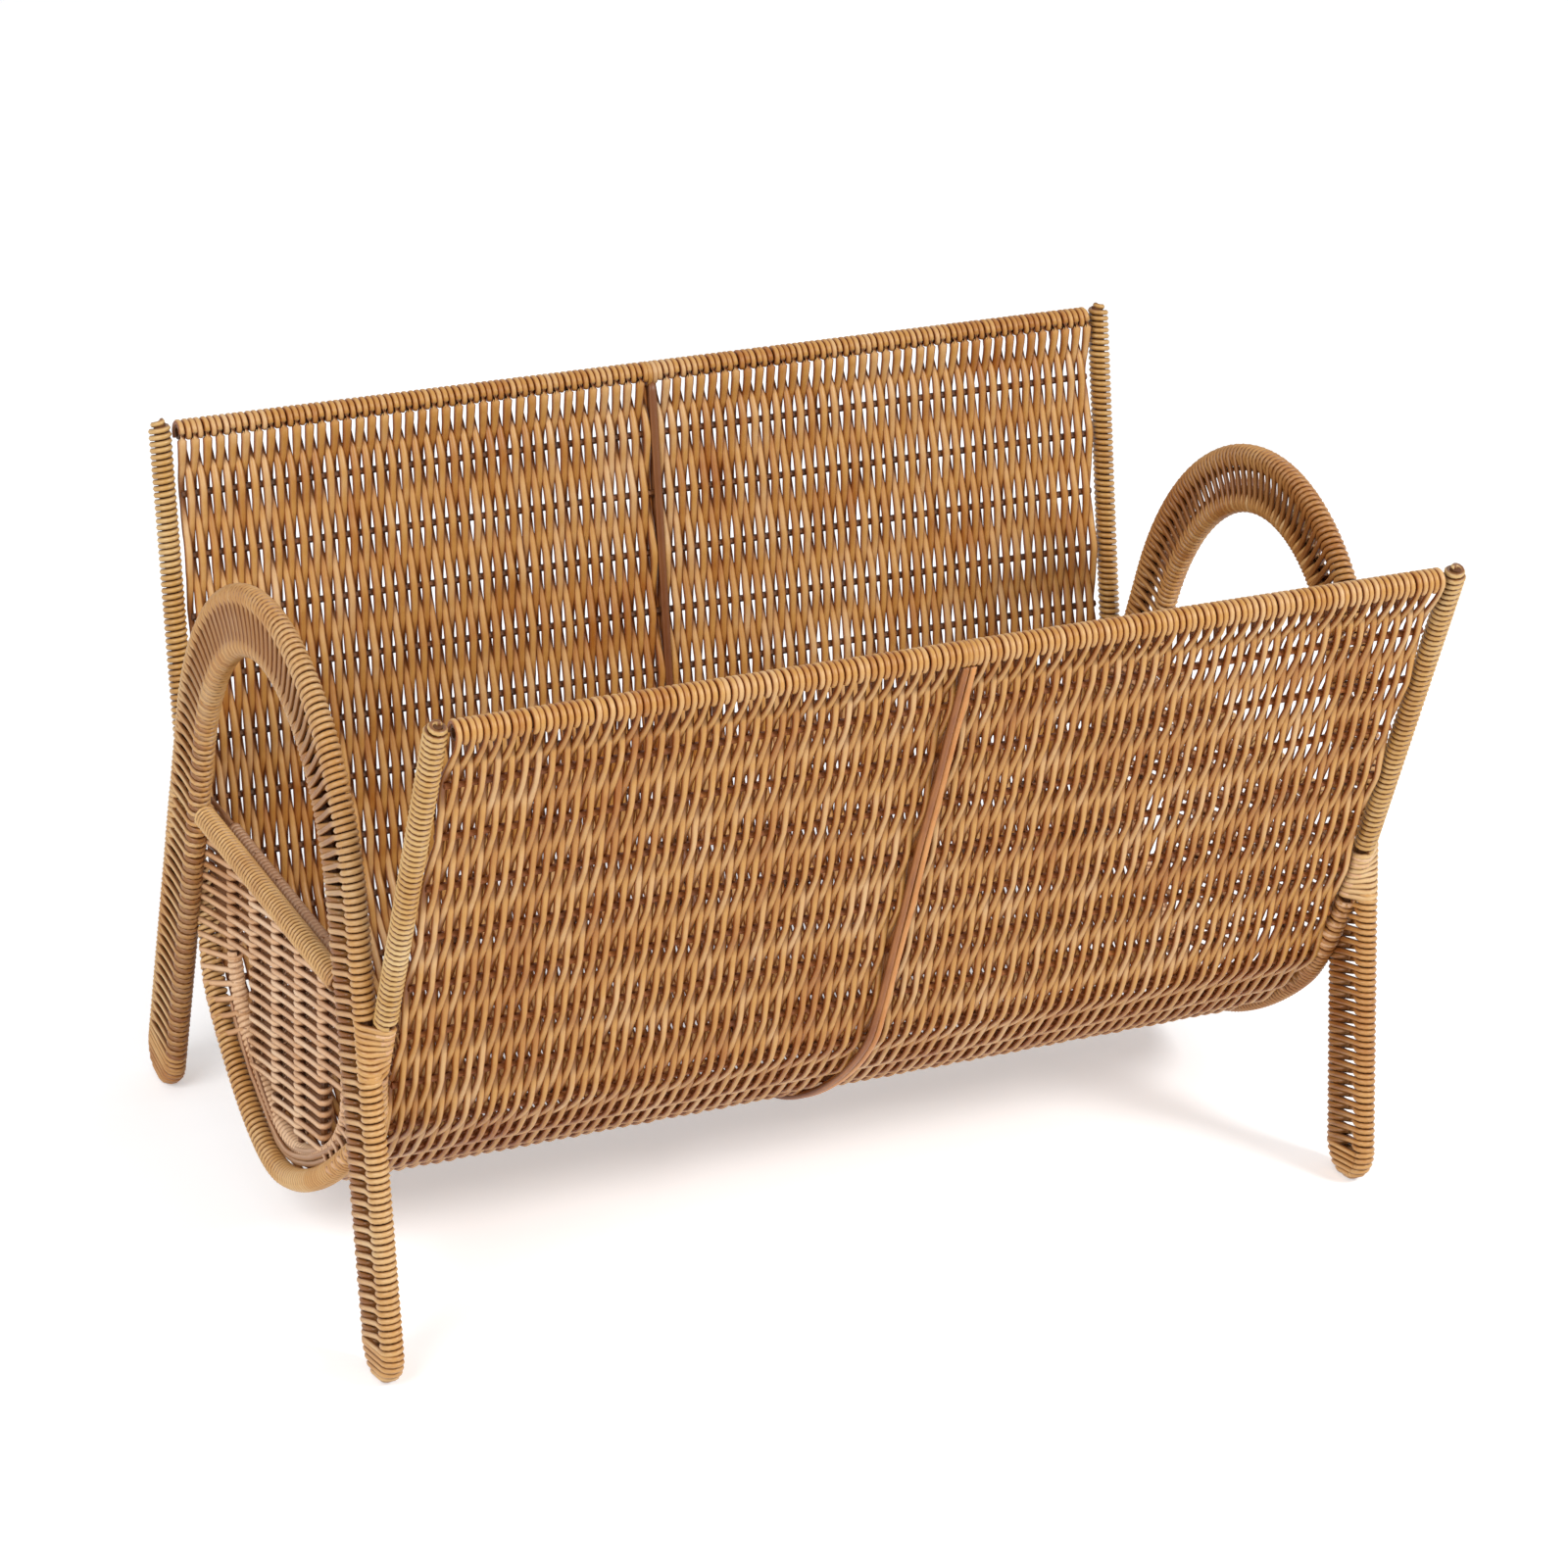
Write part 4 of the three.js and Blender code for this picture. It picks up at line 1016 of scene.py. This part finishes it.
# %% Edging, bundle and border of a panel
# EDGE_LEVEL and BUNDLE_LEVEL paint shade on the edging behind the rim bar and on the bundle.
EDGE_HEIGHT, EDGE_WRAP, EDGE_PITCH, EDGE_STEPS = 149.2, 2.1, 2.7, 500
EDGE_PAST, EDGE_INBOARD, EDGE_LEVEL = 1.5, 0.2, -0.8
BUNDLE_TOP, BUNDLE_STEPS, BUNDLE_LEVEL = 64.0, 90, -0.5
BUNDLE = ((-6.3, FRAME_X - 3.0), (-8.9, FRAME_X - 2.2), (-11.2, FRAME_X - 3.4))
BUNDLE_DRIFT = (0.3, 60.0)
BORDER_PITCH, BORDER_STEPS = 2.6, 10


def top_edging(side):
    """Turns along the panel's top edge, behind the rim bar, that cover the tops of the ribs."""
    y = np.linspace(-BORDER_HALF - EDGE_PAST, BORDER_HALF + EDGE_PAST, EDGE_STEPS)
    angle = 2 * np.pi * y / EDGE_PITCH
    outward = np.stack([side * np.cos(angle), np.zeros(EDGE_STEPS), np.sin(angle)], -1)
    x = np.full(EDGE_STEPS, side * (panel_x(EDGE_HEIGHT) - EDGE_INBOARD))
    middle = np.stack([x, y, np.full(EDGE_STEPS, EDGE_HEIGHT)], -1)
    return middle + EDGE_WRAP * outward, outward, np.full(EDGE_STEPS, EDGE_LEVEL)


def edge_bundle(side):
    """Strands along the U that fill the slit between the panel's border and the end wire."""
    reach = s_at_height(BUNDLE_TOP)
    s = np.linspace(-reach, reach, BUNDLE_STEPS)
    outward = np.tile([side, 0, 0.0], (BUNDLE_STEPS, 1))
    strands = []
    for offset, x in BUNDLE:
        y, z, _ = wall(s, offset)
        points = np.stack([side * (x + drift(s, *BUNDLE_DRIFT)), y, z], -1)
        strands.append((points, outward, np.full(BUNDLE_STEPS, BUNDLE_LEVEL)))
    return strands


def border_helix(side):
    """The winding of the border rib, from the back top down and up to the front top."""
    length = np.r_[0, np.cumsum(np.hypot(*np.diff(BORDER[1:], axis=0).T))]
    whole = 2 * length[-1]
    along = np.linspace(0, whole, int(whole / BORDER_PITCH * BORDER_STEPS))
    from_top = np.minimum(along, whole - along)
    y = np.interp(from_top, length, BORDER[1:, 0]) * np.where(along < length[-1], 1, -1)
    z = np.interp(from_top, length, BORDER[1:, 1])
    run = np.stack([np.gradient(y), np.gradient(z)], -1)
    run /= np.linalg.norm(run, axis=1, keepdims=True)
    out = np.stack([run[:, 1], -run[:, 0]], -1)
    angle = 2 * np.pi * along / BORDER_PITCH
    outward = np.stack([side * np.sin(angle), np.cos(angle) * out[:, 0], np.cos(angle) * out[:, 1]], -1)
    middle = np.stack([side * panel_x(z), y, z], -1)
    return middle + RIB_WRAP * outward, outward


# %% Both end panels
for end, side in (("left", -1), ("right", 1)):
    strands = panel_strands(side) + [border_helix(side), top_edging(side)] + edge_bundle(side)
    make_piece(f"{end}_panel_strands", strands, PANEL_WIDTH, PANEL_THICK, SIDES, PANEL_CANE,
               [f"{end}_end_panel"])

# %% [markdown]
# ## Floor, light and camera
# A pale floor under soft studio light keeps the cane's own colours. A weak glow on it, and a
# world that is white to the camera, make the background white without more light on the
# basket. Rays of gloss and glass see the same white. The floor keeps the basket's shadow.
# The camera stands where the photograph's did: it was solved from points of the frame.

# %% Rays that see the white background
def background_rays(tree):
    """1 for the rays of the camera, of gloss and of glass, which see a white background."""
    ray = add(tree, "ShaderNodeLightPath")
    straight = add(tree, "ShaderNodeMath",
                   {0: ray.outputs["Is Camera Ray"], 1: ray.outputs["Is Glossy Ray"]},
                   {"operation": "MAXIMUM"})
    return add(tree, "ShaderNodeMath", {0: straight.outputs[0], 1: ray.outputs["Is Transmission Ray"]},
               {"operation": "MAXIMUM"}).outputs[0]


# %% Floor of matt white paper
FLOOR_HALF = 8
floor_mesh = bpy.data.meshes.new("floor")
floor_corners = [(x * FLOOR_HALF, y * FLOOR_HALF, 0) for x, y in ((-1, -1), (1, -1), (1, 1), (-1, 1))]
floor_mesh.from_pydata(floor_corners, [], [(0, 1, 2, 3)])
floor = bpy.data.objects.new("floor", floor_mesh)
bpy.context.scene.collection.objects.link(floor)
paper, tree = new_material("white_studio_paper")
fleck = add(tree, "ShaderNodeTexNoise", Scale=40.0)
white = add(tree, "ShaderNodeValToRGB", {"Fac": fleck.outputs["Fac"]})
set_ramp(white, [(0.0, "#F9F9F9"), (1.0, "#FCFCFC")])
matt = add(tree, "ShaderNodeBsdfPrincipled", {"Base Color": white.outputs["Color"]}, Roughness=0.9)
glow = add(tree, "ShaderNodeEmission", Color=linear("#FFFFFF"), Strength=0.36)
lit = add(tree, "ShaderNodeAddShader", {0: matt.outputs[0], 1: glow.outputs[0]})
seen = add(tree, "ShaderNodeMixShader", {0: background_rays(tree), 1: matt.outputs[0], 2: lit.outputs[0]})
add(tree, "ShaderNodeOutputMaterial", {"Surface": seen.outputs[0]})
floor_mesh.materials.append(paper)
print("Floor", 2 * FLOOR_HALF, "m square")

# %% World and lamps
world = bpy.data.worlds.new("studio")
bpy.context.scene.world = world
world.use_nodes = True
world.node_tree.nodes.clear()
dim = add(world.node_tree, "ShaderNodeBackground", Color=linear("#F4F6FA"), Strength=0.5)
full = add(world.node_tree, "ShaderNodeBackground", Color=linear("#FFFFFF"), Strength=1.0)
sky = add(world.node_tree, "ShaderNodeMixShader",
          {0: background_rays(world.node_tree), 1: dim.outputs[0], 2: full.outputs[0]})
add(world.node_tree, "ShaderNodeOutputWorld", {"Surface": sky.outputs[0]})


# %% An object's place and axes as one matrix
def stand(thing, right, up, back, place):
    """Puts a lamp or camera at a place, looking against its back axis."""
    rows = [[*row, at] for row, at in zip(np.stack([right, up, back], 1), place)]
    thing.matrix_world = Matrix(rows + [[0, 0, 0, 1]])


# %% Soft lamps
AIM_HEIGHT = 0.15


def area_lamp(name, place, size, power):
    data = bpy.data.lights.new(name, "AREA")
    data.shape, data.size, data.energy = "DISK", size, power
    lamp = bpy.data.objects.new(name, data)
    bpy.context.scene.collection.objects.link(lamp)
    back = np.array(place, float) - (0, 0, AIM_HEIGHT)
    back /= np.linalg.norm(back)
    right = np.cross([0, 0, 1.0], back)
    right /= np.linalg.norm(right)
    stand(lamp, right, np.cross(back, right), back, place)
    print(name, "is a disk of", size, "m with", power, "W")


area_lamp("key_from_front_right", (1.3, -1.5, 1.7), 0.7, 34.0)
area_lamp("fill_from_left", (-1.7, -0.9, 1.5), 1.4, 26.0)

# %% Camera
AZIMUTH, ELEVATION, ROLL = math.radians(-27.88), math.radians(26.70), math.radians(4.04)
DISTANCE, FOCAL_PIXELS, FRAME_PIXELS = 2128.62, 5231.48, 1600
TARGET = np.array([1.52, -0.79, 164.79])
SENSOR_MM = 36.0
reach = math.cos(ELEVATION)
back = np.array([math.sin(AZIMUTH) * reach, -math.cos(AZIMUTH) * reach, math.sin(ELEVATION)])
level = np.array([math.cos(AZIMUTH), math.sin(AZIMUTH), 0.0])
plumb = np.cross(back, level)
right = math.cos(ROLL) * level + math.sin(ROLL) * plumb
up = -math.sin(ROLL) * level + math.cos(ROLL) * plumb
camera = bpy.data.objects.new("camera", bpy.data.cameras.new("camera"))
bpy.context.scene.collection.objects.link(camera)
place = (TARGET + DISTANCE * back) * MM
stand(camera, right, up, back, place)
camera.data.sensor_width = SENSOR_MM
camera.data.lens = FOCAL_PIXELS / FRAME_PIXELS * SENSOR_MM
bpy.context.scene.camera = camera
bpy.context.scene.view_settings.view_transform = "Standard"
print("Lens", round(camera.data.lens, 1), "mm at", [round(v, 3) for v in place])
